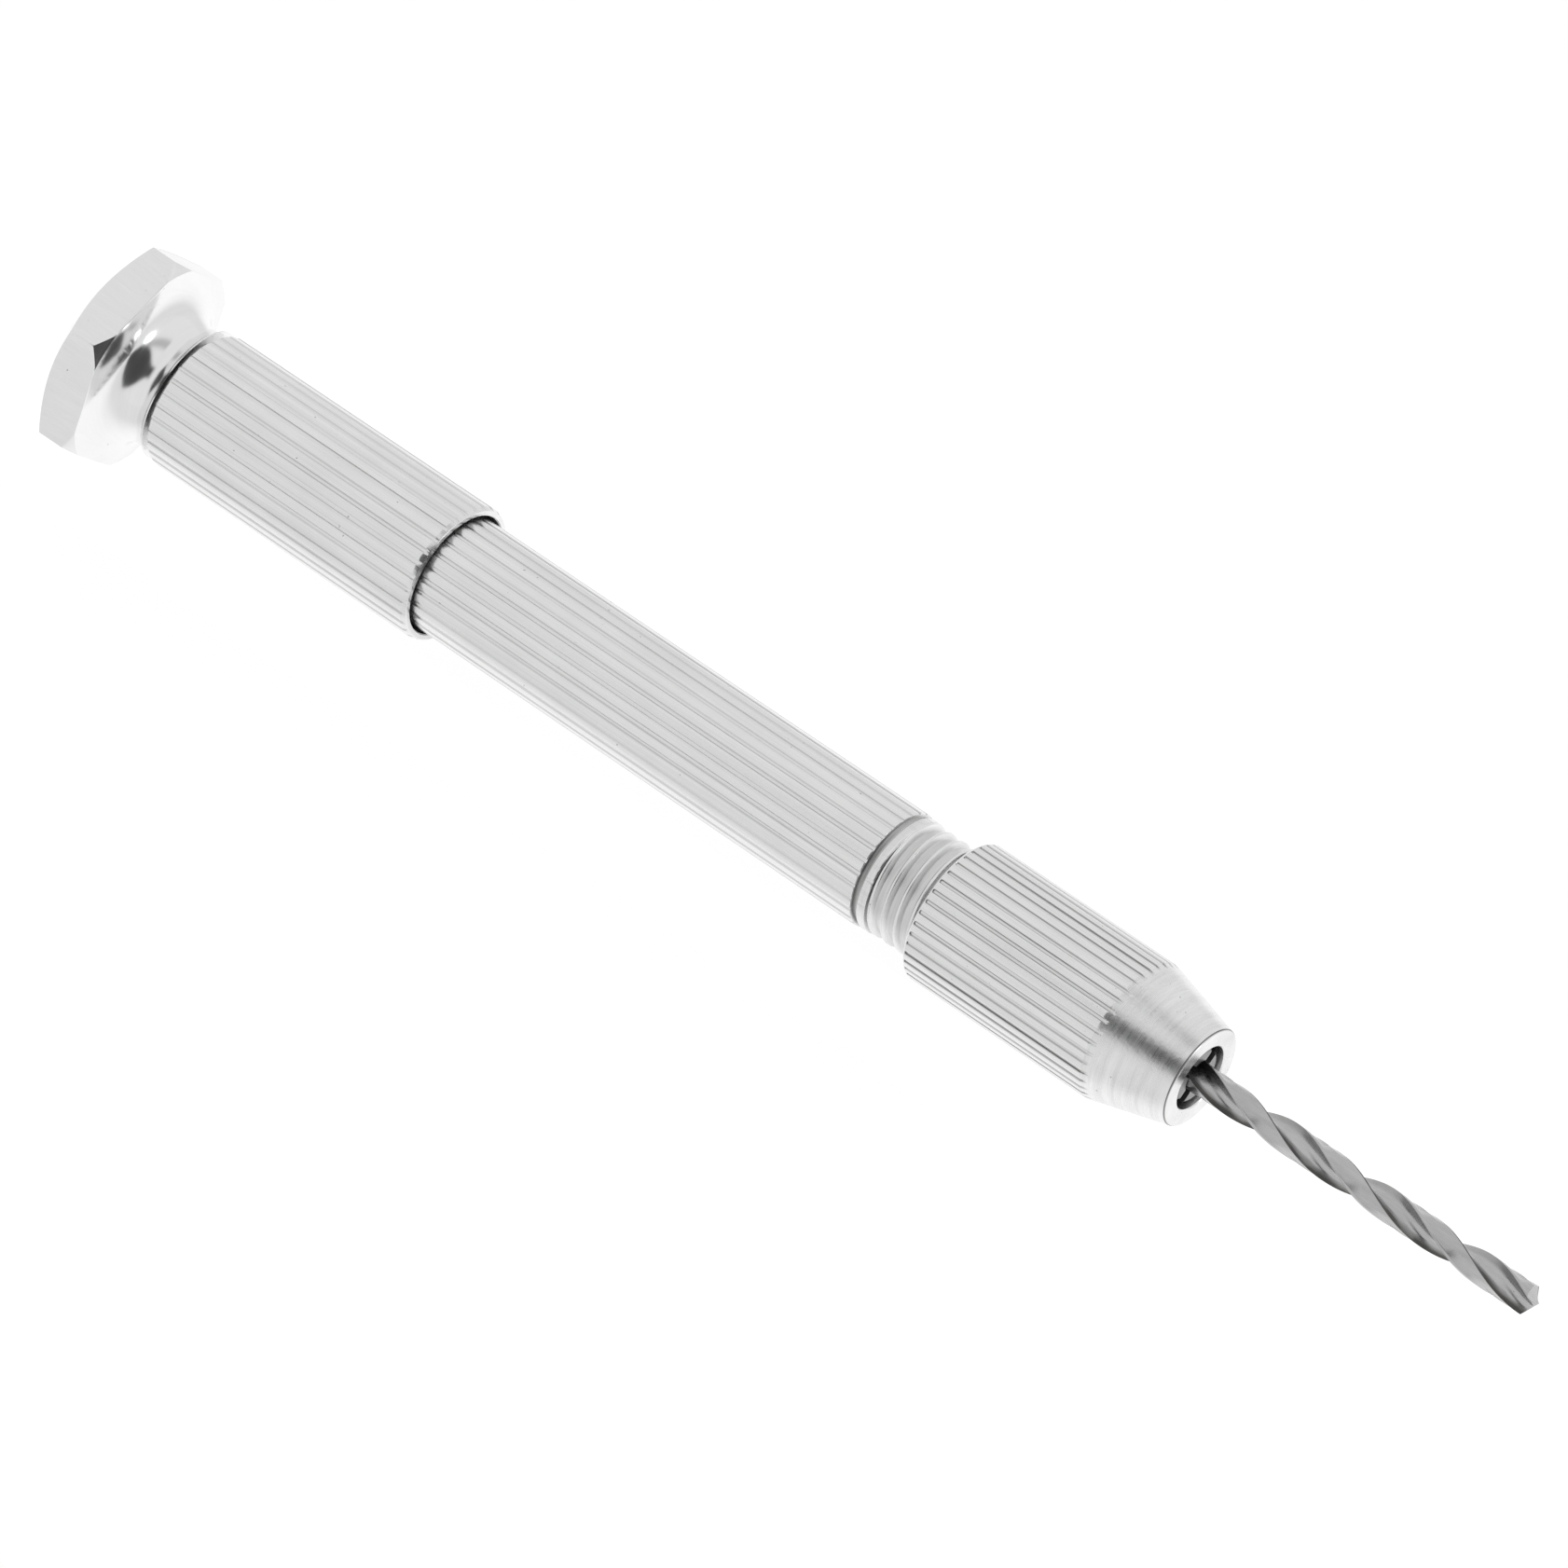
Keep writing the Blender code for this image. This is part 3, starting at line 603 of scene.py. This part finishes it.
def handle_barrel(materials):
    """The fluted barrel: a threaded spigot, flutes, a recess, a collar and the threaded neck. The
    recess is painted dark as shade, and a ragged band of painted shadow lies in front of the
    sleeve's mouth."""
    columns = flute_columns(BARREL_FLUTES, BARREL_TURN, 23)
    outline = rounded(
        [
            (BARREL_SHOULDER_X, BARREL_RADIUS - 0.0004),
            (BARREL_SHOULDER_X, BARREL_RADIUS - 0.0002),
            (BARREL_SHOULDER_X + 0.0002, BARREL_RADIUS),
            *((SLEEVE_FRONT_X + 0.00005 * i, BARREL_RADIUS) for i in range(-2, 23)),
            (BARREL_FLUTES_END_X - 0.00006, BARREL_RADIUS),
            (BARREL_FLUTES_END_X, BARREL_RADIUS - 0.00006),
            (BARREL_FLUTES_END_X + 0.00003, RECESS_RADIUS),
            (COLLAR_X, RECESS_RADIUS),
            (COLLAR_X + 0.00005, COLLAR_RADIUS),
            (COLLAR_END_X - 0.00009, COLLAR_RADIUS),
            (COLLAR_END_X, COLLAR_RADIUS - 0.00006),
            (COLLAR_END_X, NECK_THREAD[2] + 0.00001),
        ],
        0.00004,
    )
    rings, shades = fluted_rings(outline, BARREL_RADIUS, HANDLE_FLUTE_DEPTH, columns)
    # Painted shadow: a ragged band, toothed along the flutes, darkens the barrel in front of the
    # sleeve's mouth.
    rng = random.Random(5)
    tooth_columns = 7
    teeth = [rng.uniform(0.0004, 0.0011) for _ in columns[::tooth_columns]]
    for (x, radius), values in zip(outline, shades):
        # The recess behind the collar is painted dark: painted shade.
        if BARREL_FLUTES_END_X < x < COLLAR_X and radius < BARREL_RADIUS - 0.0003:
            values[:] = [RECESS_SHADE] * len(values)
        ahead = x - SLEEVE_FRONT_X
        if 0.00001 < ahead < MOUTH_SHADOW_LENGTH:
            for k, value in enumerate(values):
                off_middle = abs(k % tooth_columns - tooth_columns // 2)
                tooth = teeth[k // tooth_columns] * (1.0 - 0.2 * off_middle)
                dirt_and_shade = 1.0 - smooth_step(tooth - 0.0002, tooth + 0.00005, ahead)
                values[k] = max(value, MOUTH_SHADOW * dirt_and_shade)
    bm = new_mesh()

    def neck_taper(x):
        return NECK_THREAD[1] - LEAD_DROP + max(NECK_FRONT_X - x, 0.0) * LEAD_SLOPE

    def spigot_taper(x):
        return TAIL_THREAD[1] - LEAD_DROP + max(x - BARREL_REAR_X, 0.0) * LEAD_SLOPE

    neck_low, neck_high = screw(
        bm, COLLAR_END_X, NECK_FRONT_X, NECK_THREAD, NECK_CREST_X, taper=neck_taper
    )
    spigot_low, spigot_high = screw(
        bm, BARREL_REAR_X, BARREL_SHOULDER_X, TAIL_THREAD, BARREL_REAR_X, taper=spigot_taper
    )
    skin_low, skin_high = tube(bm, rings, shades)
    bore = [
        (NECK_FRONT_X, BARREL_TAPER_RADIUS),
        (BARREL_TAPER_X, BARREL_BORE_RADIUS),
        (BARREL_REAR_X, BARREL_BORE_RADIUS),
    ]
    bore_high, bore_low = tube(bm, circles(bore, 96))
    bridge(bm, loop_edges(bm, skin_high), neck_low)
    bridge(bm, neck_high, loop_edges(bm, bore_high))
    bridge(bm, loop_edges(bm, bore_low), spigot_low)
    bridge(bm, spigot_high, loop_edges(bm, skin_low))

    def turned_part(face):
        return int(face.calc_center_median().x > BARREL_FLUTES_END_X or turned_face(face))

    body = finish_mesh("fluted_barrel", bm, materials, turned_part)
    place(body, "barrel", "fluted_aluminium", "barrel")
    return body


# ---------------------------------------------------------------- chuck


def nut_shell(materials):
    """The chuck nut: milled flutes behind a thin rim, a turned cone, a flat nose and the mouth."""
    columns = flute_columns(NUT_FLUTES, NUT_TURN, 37)
    outline = rounded(
        [
            (NUT_REAR_X, NUT_RADIUS - 0.0006),
            (NUT_REAR_X, NUT_RADIUS - 0.00016),
            (NUT_REAR_X + 0.00016, NUT_RADIUS),
            (NUT_CONE_X, NUT_RADIUS),
            (NOSE_X - NUT_NOSE_EDGE, NUT_CONE_END_RADIUS),
            (NOSE_X, NUT_CONE_END_RADIUS - NUT_NOSE_EDGE),
            (NOSE_X, MOUTH_RADIUS + 0.0002),
        ],
        0.00004,
    )

    def radius_at(x):
        for (x0, r0), (x1, r1) in zip(outline, outline[1:]):
            if x0 <= x <= x1 and x1 > x0:
                return r0 + (r1 - r0) * (x - x0) / (x1 - x0)
        return outline[-1][1]

    flute_start = NUT_REAR_X + NUT_RIM
    run_out = NUT_FLUTE_DEPTH * (NOSE_X - NUT_CONE_X) / (NUT_RADIUS - NUT_CONE_END_RADIUS)
    extra = [flute_start + 0.00002 * i for i in range(-2, 12)]
    extra += [NUT_CONE_X + run_out * 1.15 * i / 26 for i in range(1, 27)]
    fixed = {round(x, 7) for x, _ in outline}
    stations = outline + [(x, radius_at(x)) for x in extra if round(x, 7) not in fixed]
    rear = sorted((p for p in stations if p[0] <= NUT_REAR_X + 1e-9), key=lambda p: p[1])
    nose = sorted((p for p in stations if p[0] >= NOSE_X - 1e-9), key=lambda p: -p[1])
    between = sorted(p for p in stations if NUT_REAR_X + 1e-9 < p[0] < NOSE_X - 1e-9)
    ordered = rear + between + nose

    def start(u):
        return flute_start + 0.00016 * min(abs(u) / 0.2, 1.2) ** 4

    outer = fluted_rings(ordered, NUT_RADIUS, NUT_FLUTE_DEPTH, columns, start)
    # A thin dark line painted round the edge between the cone and the nose's chamfer.
    for (x, _), values in zip(ordered, outer[1]):
        if abs(x - (NOSE_X - NUT_NOSE_EDGE)) < 0.00003:
            values[:] = [1.0] * len(values)
    _, root, crest = NECK_THREAD
    lead_end = NUT_REAR_X + 0.0004
    thread_top = crest + THREAD_ROOM + 0.00003
    plain = root + THREAD_ROOM
    bm = new_mesh()
    thread_low, thread_high = screw(
        bm, lead_end, NUT_THREAD_END_X, NECK_THREAD, NECK_CREST_X, THREAD_ROOM
    )
    skin_low, skin_high = tube(bm, *outer)
    lead = (NUT_REAR_X, crest + THREAD_ROOM + 0.00012), (lead_end, thread_top)
    lead_low, lead_high = tube(bm, circles(lead, 120))
    inside = rounded(
        [
            (NUT_THREAD_END_X, thread_top),
            (NUT_THREAD_END_X + 0.0001, plain),
            (NUT_CHAMBER_END_X, plain),
            (MOUTH_REAR_X, MOUTH_RADIUS),
            (NOSE_X - 0.00010, MOUTH_RADIUS),
            (NOSE_X, MOUTH_RADIUS + 0.00010),
        ],
        0.00003,
    )
    inside_low, inside_high = tube(bm, circles(inside, 144))
    bridge(bm, loop_edges(bm, skin_low), loop_edges(bm, lead_low))
    bridge(bm, loop_edges(bm, lead_high), thread_low)
    bridge(bm, thread_high, loop_edges(bm, inside_low))
    bridge(bm, loop_edges(bm, inside_high), loop_edges(bm, skin_high))

    def turned_part(face):
        return int(face.calc_center_median().x > NUT_CONE_X or turned_face(face))

    nut = finish_mesh("fluted_chuck_nut", bm, materials, turned_part)
    place(nut, "chuck_nut", "fluted_aluminium", "chuck_nut")
    return nut


def jaw(number, material):
    """One quarter of the split collet between two slot faces. Its front is nearly level with the
    nut's nose, and its slots widen towards the front, as in the photograph."""
    outline = rounded(
        [
            (JAW_ROOT_X, COLLET_BORE_RADIUS),
            (JAW_ROOT_X, COLLET_RADIUS),
            (COLLET_SHANK_END_X, COLLET_RADIUS),
            (JAW_HEAD_X - 0.0002, JAW_HEAD_REAR_RADIUS),
            (JAW_HEAD_X, JAW_HEAD_RADIUS),
            (JAW_CONE_X, JAW_HEAD_RADIUS),
            (JAW_FRONT_X - 0.0002, JAW_FRONT_RADIUS + 0.0002),
            (JAW_FRONT_X, JAW_FRONT_RADIUS),
            (JAW_FRONT_X, GRIP_RADIUS + 0.00012),
            (JAW_FRONT_X - 0.00012, GRIP_RADIUS),
            (GRIP_X, GRIP_RADIUS),
            (COLLET_BORE_END_X, COLLET_BORE_RADIUS),
        ],
        0.00005,
        closed=True,
    )
    steps = 14
    turn = COLLET_TURN + number * TAU / 4
    rings = []
    for k in range(steps + 1):
        ring = []
        for x, radius in outline:
            slot = JAW_SLOT + JAW_SLOT_WIDENING * smooth_step(JAW_CONE_X, JAW_FRONT_X, x)
            side = math.asin(slot / 2 / radius)
            ring.append(on_circle(x, radius, turn + side + (TAU / 4 - 2 * side) * k / steps))
        rings.append(ring)
    bm = new_mesh()
    first, last = tube(bm, rings)
    bm.faces.new(first)
    bm.faces.new(last)
    piece = finish_mesh(f"jaw_{number + 1}", bm, [material])
    place(piece, f"jaw_{number + 1}", "collet_steel", f"collet_jaw_{number + 1}")
    return piece


def bit_section(depth, samples=28):
    """(radius, angle, groove value) points round the bit. Each half has a round flute, then a land
    with a raised margin at its cutting edge. The groove values paint shade as dark lines along the
    flute's edges and before the margin. depth is 1 along the flutes and 0 on the shank."""
    opening = math.asin(BIT_CUTTER_RADIUS / BIT_RADIUS)
    margin, relief = math.radians(13), 0.00003
    half = []
    for i in range(samples):
        angle = opening * (2 * i / samples - 1)
        chord = BIT_CUTTER_RADIUS**2 - (BIT_RADIUS * math.sin(angle)) ** 2
        radius = BIT_RADIUS * math.cos(angle) - math.sqrt(max(chord, 0.0))
        half.append((BIT_RADIUS + (radius - BIT_RADIUS) * depth, angle, 0.3 if i == 0 else 0.0))
    land = TAU / 2 - 2 * opening
    clear = BIT_RADIUS - relief * depth
    half += [
        (clear - 0.00001 * depth, opening + 0.01, 2.0),
        (clear, opening + 0.06, 2.0),
        (clear, opening + 0.09, 0.0),
        (clear, opening + (land - margin) * 0.5, 0.0),
        (clear, opening + land - margin - 0.02, 0.1),
        (BIT_RADIUS, opening + land - margin + 0.02, 0.0),
        (BIT_RADIUS, opening + land - margin / 2, 0.0),
        (BIT_RADIUS - 0.000004 * depth, opening + land - 0.01, 0.3),
    ]
    return half + [(radius, angle + TAU / 2, groove) for radius, angle, groove in half]


def twist_bit(material):
    """A right-hand twist bit: a plain shank, two flutes and a roof-shaped point with its chisel
    edge."""
    flute_start = BIT_TIP_X - BIT_FLUTE_LENGTH
    lip_cot = 1 / math.tan(BIT_POINT_HALF_ANGLE)
    relief_tan = math.tan(BIT_LIP_RELIEF)
    body_end = BIT_TIP_X - BIT_POINT_LENGTH

    def twist(x):
        return TAU * (x - BIT_FLUTE_X) / BIT_HELIX_PITCH

    lip_turn = twist(BIT_TIP_X) + TAU / 4

    def roof(radius, angle):
        """Station of the ground point over this place in the section."""
        p = radius * math.cos(angle - lip_turn)
        q = radius * math.sin(angle - lip_turn)
        return BIT_TIP_X - abs(lip_cot * p - relief_tan * q)

    full = bit_section(1.0)

    def ring(x, depth):
        return [on_circle(x, r, a + twist(x)) for r, a, _ in bit_section(depth)]

    start = ring(flute_start, 0.0)

    def shank(x, scale=1.0):
        return [Vector((x, p.y * scale, p.z * scale)) for p in start]

    rings = [
        shank(BIT_REAR_X, 0.3),
        shank(BIT_REAR_X, 1 - BIT_REAR_CHAMFER / BIT_RADIUS),
        shank(BIT_REAR_X + BIT_REAR_CHAMFER),
    ]
    rows = round((body_end - flute_start) / 0.00016)
    for i in range(rows + 1):
        x = flute_start + (body_end - flute_start) * i / rows
        depth = math.sin(min((x - flute_start) / BIT_RUN_OUT, 1.0) * TAU / 4)
        rings.append(ring(x, depth))
    ends = []
    for radius, angle, _ in full:
        x = BIT_TIP_X - radius * lip_cot
        for _ in range(6):
            x = roof(radius, angle + twist(x))
        ends.append(x)
    for k in range(1, 9):
        stations = [body_end + (x - body_end) * k / 8 for x in ends]
        rings.append([on_circle(x, r, a + twist(x)) for (r, a, _), x in zip(full, stations)])
    for scale in (0.8, 0.6, 0.42, 0.27, 0.15, 0.06):
        rings.append(
            [
                on_circle(roof(r * scale, a + twist(x)), r * scale, a + twist(x))
                for (r, a, _), x in zip(full, ends)
            ]
        )
    # Painted shade lines along the bit's edges, on every ring past the shank.
    edges = [groove for _, _, groove in full]
    plain_rings = 3
    shades = [[0.0] * len(full)] * plain_rings + [edges] * (len(rings) - plain_rings)
    bm = new_mesh()
    first, last = tube(bm, rings, shades)
    bm.faces.new(first)
    bm.faces.new(last)
    bit = finish_mesh("twist_bit", bm, [material], sharp=40.0)
    place(bit, "drill_bit", "bit_steel", "drill_bit")
    return bit


# ---------------------------------------------------------------- materials


class Nodes:
    """A small helper that adds and links the nodes of one tree."""

    def __init__(self, tree):
        self.tree = tree

    def add(self, kind, inputs=(), **settings):
        made = self.tree.nodes.new(kind)
        for key, value in settings.items():
            setattr(made, key, value)
        for key, value in dict(inputs).items():
            socket = made.inputs[key]
            if isinstance(value, bpy.types.NodeSocket):
                self.tree.links.new(value, socket)
            else:
                socket.default_value = value
        return made

    def math(self, operation, first, second=0.0, third=0.0):
        inputs = {0: first, 1: second, 2: third}
        return self.add("ShaderNodeMath", inputs, operation=operation).outputs[0]

    def ramp(self, value, low, high, low_out=0.0, high_out=1.0, kind="SMOOTHSTEP"):
        inputs = {
            "Value": value,
            "From Min": low,
            "From Max": high,
            "To Min": low_out,
            "To Max": high_out,
        }
        return self.add("ShaderNodeMapRange", inputs, interpolation_type=kind).outputs["Result"]

    def noise(self, vector, scale, detail=4.0, roughness=0.6):
        """Noise stretched by a scale for each axis."""
        moved = self.add("ShaderNodeMapping", {"Vector": vector, "Scale": scale}).outputs[0]
        inputs = {"Vector": moved, "Scale": 1.0, "Detail": detail, "Roughness": roughness}
        return self.add("ShaderNodeTexNoise", inputs).outputs["Fac"]

    def mix(self, share, first, second):
        inputs = {0: share, 6: (*first, 1.0) if isinstance(first, tuple) else first}
        inputs[7] = (*second, 1.0) if isinstance(second, tuple) else second
        return self.add("ShaderNodeMix", inputs, data_type="RGBA").outputs[2]


def grey(value, warmth=0.0):
    return (value + warmth, value, value - warmth)


def metal(name, shade, dark, roughness, marks, bump, contrast=1.0, grime_and_shade=1.0):
    """A worked metal. shade is its reflectance and dark the colour of its dirt and of its painted
    shade. marks holds the scale of its tool marks for each axis, and bump their height. contrast
    scales how much its tone varies, and grime_and_shade how strongly the dirt and painted shade
    show."""
    material = bpy.data.materials.new(name)
    material.use_nodes = True
    n = Nodes(material.node_tree)
    shader = n.tree.nodes["Principled BSDF"]
    shader.inputs["Metallic"].default_value = 1.0
    link = n.tree.links.new
    place_of = n.add("ShaderNodeTexCoord").outputs["Object"]
    fine = n.noise(place_of, marks, 3.0, 0.7)
    broad = n.noise(place_of, tuple(m * 0.22 for m in marks), 2.0, 0.5)
    cloudy = n.noise(place_of, (220.0, 220.0, 220.0), 4.0, 0.6)
    pits = n.noise(place_of, (2600.0, 2600.0, 2600.0), 2.0, 0.5)
    groove = n.add("ShaderNodeAttribute", attribute_name=GROOVE).outputs["Fac"]

    lines = n.math("MULTIPLY_ADD", fine, 0.55, n.math("MULTIPLY", broad, 0.45))
    tone = n.math("MULTIPLY_ADD", cloudy, 0.25, n.math("MULTIPLY", lines, 0.75))
    spread = 0.10 * contrast
    tint = n.ramp(tone, 0.35, 0.65, 1.0 - spread, 1.0 + 0.4 * spread, "LINEAR")
    base = n.mix(n.ramp(tint, 0.0, 1.1, 0.0, 1.0, "LINEAR"), (0.0, 0.0, 0.0), grey(shade * 1.1))
    # The groove attribute paints the metal dark: painted shade in the recess, the thread roots, the
    # band in front of the sleeve's mouth and along the bit's edges, and darker lines along the
    # flutes and round the nut's nose. The specks are dirt.
    dirt_and_shade = n.math("MULTIPLY", groove, n.ramp(broad, 0.32, 0.62, 0.45 * grime_and_shade, grime_and_shade))
    speck = n.ramp(pits, 0.74, 0.80)
    dirty_and_shaded = n.mix(n.math("MAXIMUM", dirt_and_shade, speck), base, grey(dark, 0.004))
    link(dirty_and_shaded, shader.inputs["Base Color"])

    rough = n.ramp(tone, 0.3, 0.7, roughness - 0.06, roughness + 0.08, "LINEAR")
    link(n.math("MULTIPLY_ADD", dirt_and_shade, 0.25, rough), shader.inputs["Roughness"])

    relief = n.add("ShaderNodeBump", {"Strength": 1.0, "Distance": bump, "Height": lines})
    dents = n.add(
        "ShaderNodeBump",
        {"Strength": 1.0, "Distance": bump * 1.5, "Height": pits, "Normal": relief.outputs[0]},
    )
    link(dents.outputs["Normal"], shader.inputs["Normal"])
    return material


# ---------------------------------------------------------------- camera, light and floor

# Camera, fitted to the photograph
VIEW_BACK = (0.415, -0.374, 0.829)  # from the tool towards the camera
VIEW_SLANT = math.radians(34.0)  # how far the tool's axis is turned in the picture
AIM_X, AIM_RIGHT, AIM_UP = 0.0693, 0.00031, 0.00077
CAMERA_DISTANCE = 0.704
CAMERA_LENS = 214.0

# The dome's dark opening. Its turns are about the tool's axis
OPENING_TURN = math.radians(119.0)
OPENING_HALF_WIDTH = math.radians(9.0)
OPENING_SWING = math.radians(12.0)  # how far it turns from the side to straight ahead of the bit
OPENING_GROWTH = math.radians(58.0)  # and how much half its width grows
STRIP_TURN = math.radians(66.0)
DOME_LIGHT, OPENING_LIGHT = 0.80, 0.06

LAMP_PLACE = 0.6 * Vector((0.905, 0.300, 0.300))
LAMP_SIZE = 0.13
LAMP_POWER = 0.16

# Floor. It glows like a light box, brighter out to the sides, and for reflected rays has a painted
# shadow in a strip under the tool. Y is across the tool and X along it, from under the cap's edge
FLOOR_REAR_X = 0.0027
FLOOR_HALF = 1.5
FLOOR_DIM = 0.80
FAR_LIGHT, NEAR_LIGHT = 1.16, 1.12
FAR_FADE = (0.012, 0.042)
NEAR_FADE = (-0.022, -0.006)
UNDER_FADE = (0.001, 0.0055)
UNDER_SHADE = 0.25
UNDER_START = (0.012, 0.022)
UNDER_END = (0.095, 0.105)


def sky(scene):
    """A pale dome with a dark opening on the camera's side, as round a light tent, and a weaker
    dark strip beside it. Behind the object the dome is plain white."""
    world = bpy.data.worlds.new("studio")
    scene.world = world
    world.use_nodes = True
    n = Nodes(world.node_tree)
    background = n.tree.nodes["Background"]
    background.inputs["Color"].default_value = (1.0, 1.0, 1.0, 1.0)
    toward = n.add("ShaderNodeTexCoord").outputs["Generated"]
    parts = n.add("ShaderNodeSeparateXYZ", {"Vector": toward}).outputs
    turn = n.math("ARCTAN2", parts["Z"], parts["Y"])
    ahead = n.math("MAXIMUM", parts["X"], 0.0)
    centre = n.math("MULTIPLY_ADD", ahead, OPENING_SWING, OPENING_TURN)
    width = n.math("POWER", ahead, 1.6)
    width = n.math("MULTIPLY_ADD", width, OPENING_GROWTH, OPENING_HALF_WIDTH)
    off = n.math("SUBTRACT", n.math("ABSOLUTE", n.math("SUBTRACT", turn, centre)), width)
    across = n.ramp(off, math.radians(-3.0), math.radians(6.0), 1.0, 0.0)
    along = n.ramp(parts["X"], -0.36, -0.02)
    opening = n.math("MULTIPLY", across, along)
    strip = n.math("ABSOLUTE", n.math("SUBTRACT", turn, STRIP_TURN))
    strip = n.ramp(strip, math.radians(3.0), math.radians(16.0), 0.45, 0.0)
    strip = n.math("MULTIPLY", strip, n.ramp(parts["X"], 0.0, 0.12))
    opening = n.math("MAXIMUM", opening, strip)
    dome = n.ramp(opening, 0.0, 1.0, DOME_LIGHT, OPENING_LIGHT, "LINEAR")
    seen = n.add("ShaderNodeLightPath").outputs["Is Camera Ray"]
    n.tree.links.new(n.math("MAXIMUM", dome, seen), background.inputs["Strength"])


def studio():
    """The camera, the dome, the lamp that gives the highlights, and the floor."""
    scene = bpy.context.scene
    scene.view_settings.view_transform = "Standard"
    back = Vector(VIEW_BACK).normalized()
    axis = Vector((1.0, 0.0, 0.0))
    along = (axis - axis.dot(back) * back).normalized()
    aside = back.cross(along)
    right = math.cos(VIEW_SLANT) * along + math.sin(VIEW_SLANT) * aside
    up = -math.sin(VIEW_SLANT) * along + math.cos(VIEW_SLANT) * aside
    aim = Vector((AIM_X, 0.0, 0.0)) + AIM_RIGHT * right + AIM_UP * up
    camera = bpy.data.objects.new("camera", bpy.data.cameras.new("camera"))
    camera.data.lens = CAMERA_LENS
    camera.data.clip_start = 0.01
    camera.matrix_world = Matrix.Translation(aim + CAMERA_DISTANCE * back) @ Matrix(
        (right, up, back)
    ).transposed().to_4x4()
    scene.collection.objects.link(camera)
    scene.camera = camera

    sky(scene)

    lamp = bpy.data.objects.new("highlight", bpy.data.lights.new("highlight", "AREA"))
    lamp.data.shape = "DISK"
    lamp.data.size = LAMP_SIZE
    lamp.data.energy = LAMP_POWER
    lamp.location = LAMP_PLACE
    lamp.rotation_mode = "QUATERNION"
    lamp.rotation_quaternion = (LAMP_PLACE - aim).to_track_quat("Z", "Y")
    scene.collection.objects.link(lamp)

    rest_low = Vector((FLOOR_REAR_X, 0.0, -HEX_APOTHEM))
    rest_high = Vector((NUT_CONE_X, 0.0, -NUT_RADIUS))
    run = (rest_high - rest_low).normalized()
    floor_mesh = bpy.data.meshes.new("floor")
    half = FLOOR_HALF
    corners = [(-half, -half, 0), (half, -half, 0), (half, half, 0), (-half, half, 0)]
    floor_mesh.from_pydata(corners, [], [(0, 1, 2, 3)])
    floor = bpy.data.objects.new("floor", floor_mesh)
    normal = run.cross(Vector((0.0, 1.0, 0.0)))
    floor.matrix_world = Matrix.Translation(rest_low - 0.00005 * normal) @ Matrix(
        (run, Vector((0.0, 1.0, 0.0)), normal)
    ).transposed().to_4x4()
    paper = bpy.data.materials.new("paper")
    paper.use_nodes = True
    n = Nodes(paper.node_tree)
    shader = n.tree.nodes["Principled BSDF"]
    shader.inputs["Base Color"].default_value = (0.95, 0.95, 0.95, 1.0)
    shader.inputs["Roughness"].default_value = 0.9
    spot = n.add("ShaderNodeSeparateXYZ", {"Vector": n.add("ShaderNodeTexCoord").outputs["Object"]})
    far = n.ramp(spot.outputs["Y"], *FAR_FADE, FAR_LIGHT, FLOOR_DIM)
    near = n.ramp(spot.outputs["Y"], *NEAR_FADE, FLOOR_DIM, NEAR_LIGHT)
    light = n.math("MINIMUM", far, near)
    # A painted shadow: the glow is dimmed in a strip under the tool, from the cap to the nut.
    under = n.math("ABSOLUTE", spot.outputs["Y"])
    under = n.ramp(under, *UNDER_FADE, UNDER_SHADE, 0.0)
    under = n.math("MULTIPLY", under, n.ramp(spot.outputs["X"], *UNDER_START))
    under = n.math("MULTIPLY", under, n.ramp(spot.outputs["X"], *UNDER_END, 1.0, 0.0))
    light = n.math("MULTIPLY", light, n.math("SUBTRACT", 1.0, under))
    seen = n.add("ShaderNodeLightPath").outputs["Is Camera Ray"]
    bright = n.math("MAXIMUM", light, n.math("MULTIPLY", seen, 1.04))
    glow = n.add("ShaderNodeEmission", {"Strength": bright}).outputs[0]
    share = n.math("MULTIPLY_ADD", seen, 0.07, 0.85)
    paper_mix = n.add("ShaderNodeMixShader", {0: share, 1: shader.outputs[0], 2: glow})
    n.tree.links.new(paper_mix.outputs[0], n.tree.nodes["Material Output"].inputs["Surface"])
    floor_mesh.materials.append(paper)
    scene.collection.objects.link(floor)


def build():
    """Every piece with its metal, then the studio. The small inner parts keep their CAD meshes."""
    drawn = metal("drawn_aluminium", 0.89, 0.25, 0.24, (90.0, 9000.0, 9000.0), 0.000005, 1.0, 0.4)
    milled = metal("milled_aluminium", 0.89, 0.30, 0.26, (120.0, 8000.0, 8000.0), 0.000006)
    turned = metal("turned_aluminium", 0.89, 0.2, 0.27, (12000.0, 500.0, 500.0), 0.000006, 1.7)
    mirror = metal("polished_aluminium", 0.92, 0.3, 0.15, (9000.0, 200.0, 200.0), 0.0000008, 0.4)
    flats = metal("drawn_hexagon", 0.90, 0.3, 0.20, (60.0, 7000.0, 7000.0), 0.000003, 0.5)
    steel = metal("plain_steel", 0.45, 0.15, 0.34, (3000.0, 3000.0, 3000.0), 0.000004)
    collet = metal("turned_steel", 0.34, 0.1, 0.38, (9000.0, 300.0, 300.0), 0.000006)
    ground = metal("ground_steel", 0.56, 0.15, 0.26, (500.0, 5000.0, 5000.0), 0.000004, 1.6)
    palm_cap([flats, mirror])
    rear_sleeve([drawn, turned])
    handle_barrel([drawn, turned])
    nut_shell([milled, turned])
    for number in range(4):
        jaw(number, collet)
    twist_bit(ground)
    for name, material in (
        ("pivot_stud", steel),
        ("cap_washer", steel),
        ("thrust_washer", steel),
        ("retaining_clip", steel),
        ("collet_body", collet),
    ):
        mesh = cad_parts[name].data
        mesh.materials.clear()
        mesh.materials.append(material)
    studio()


build()
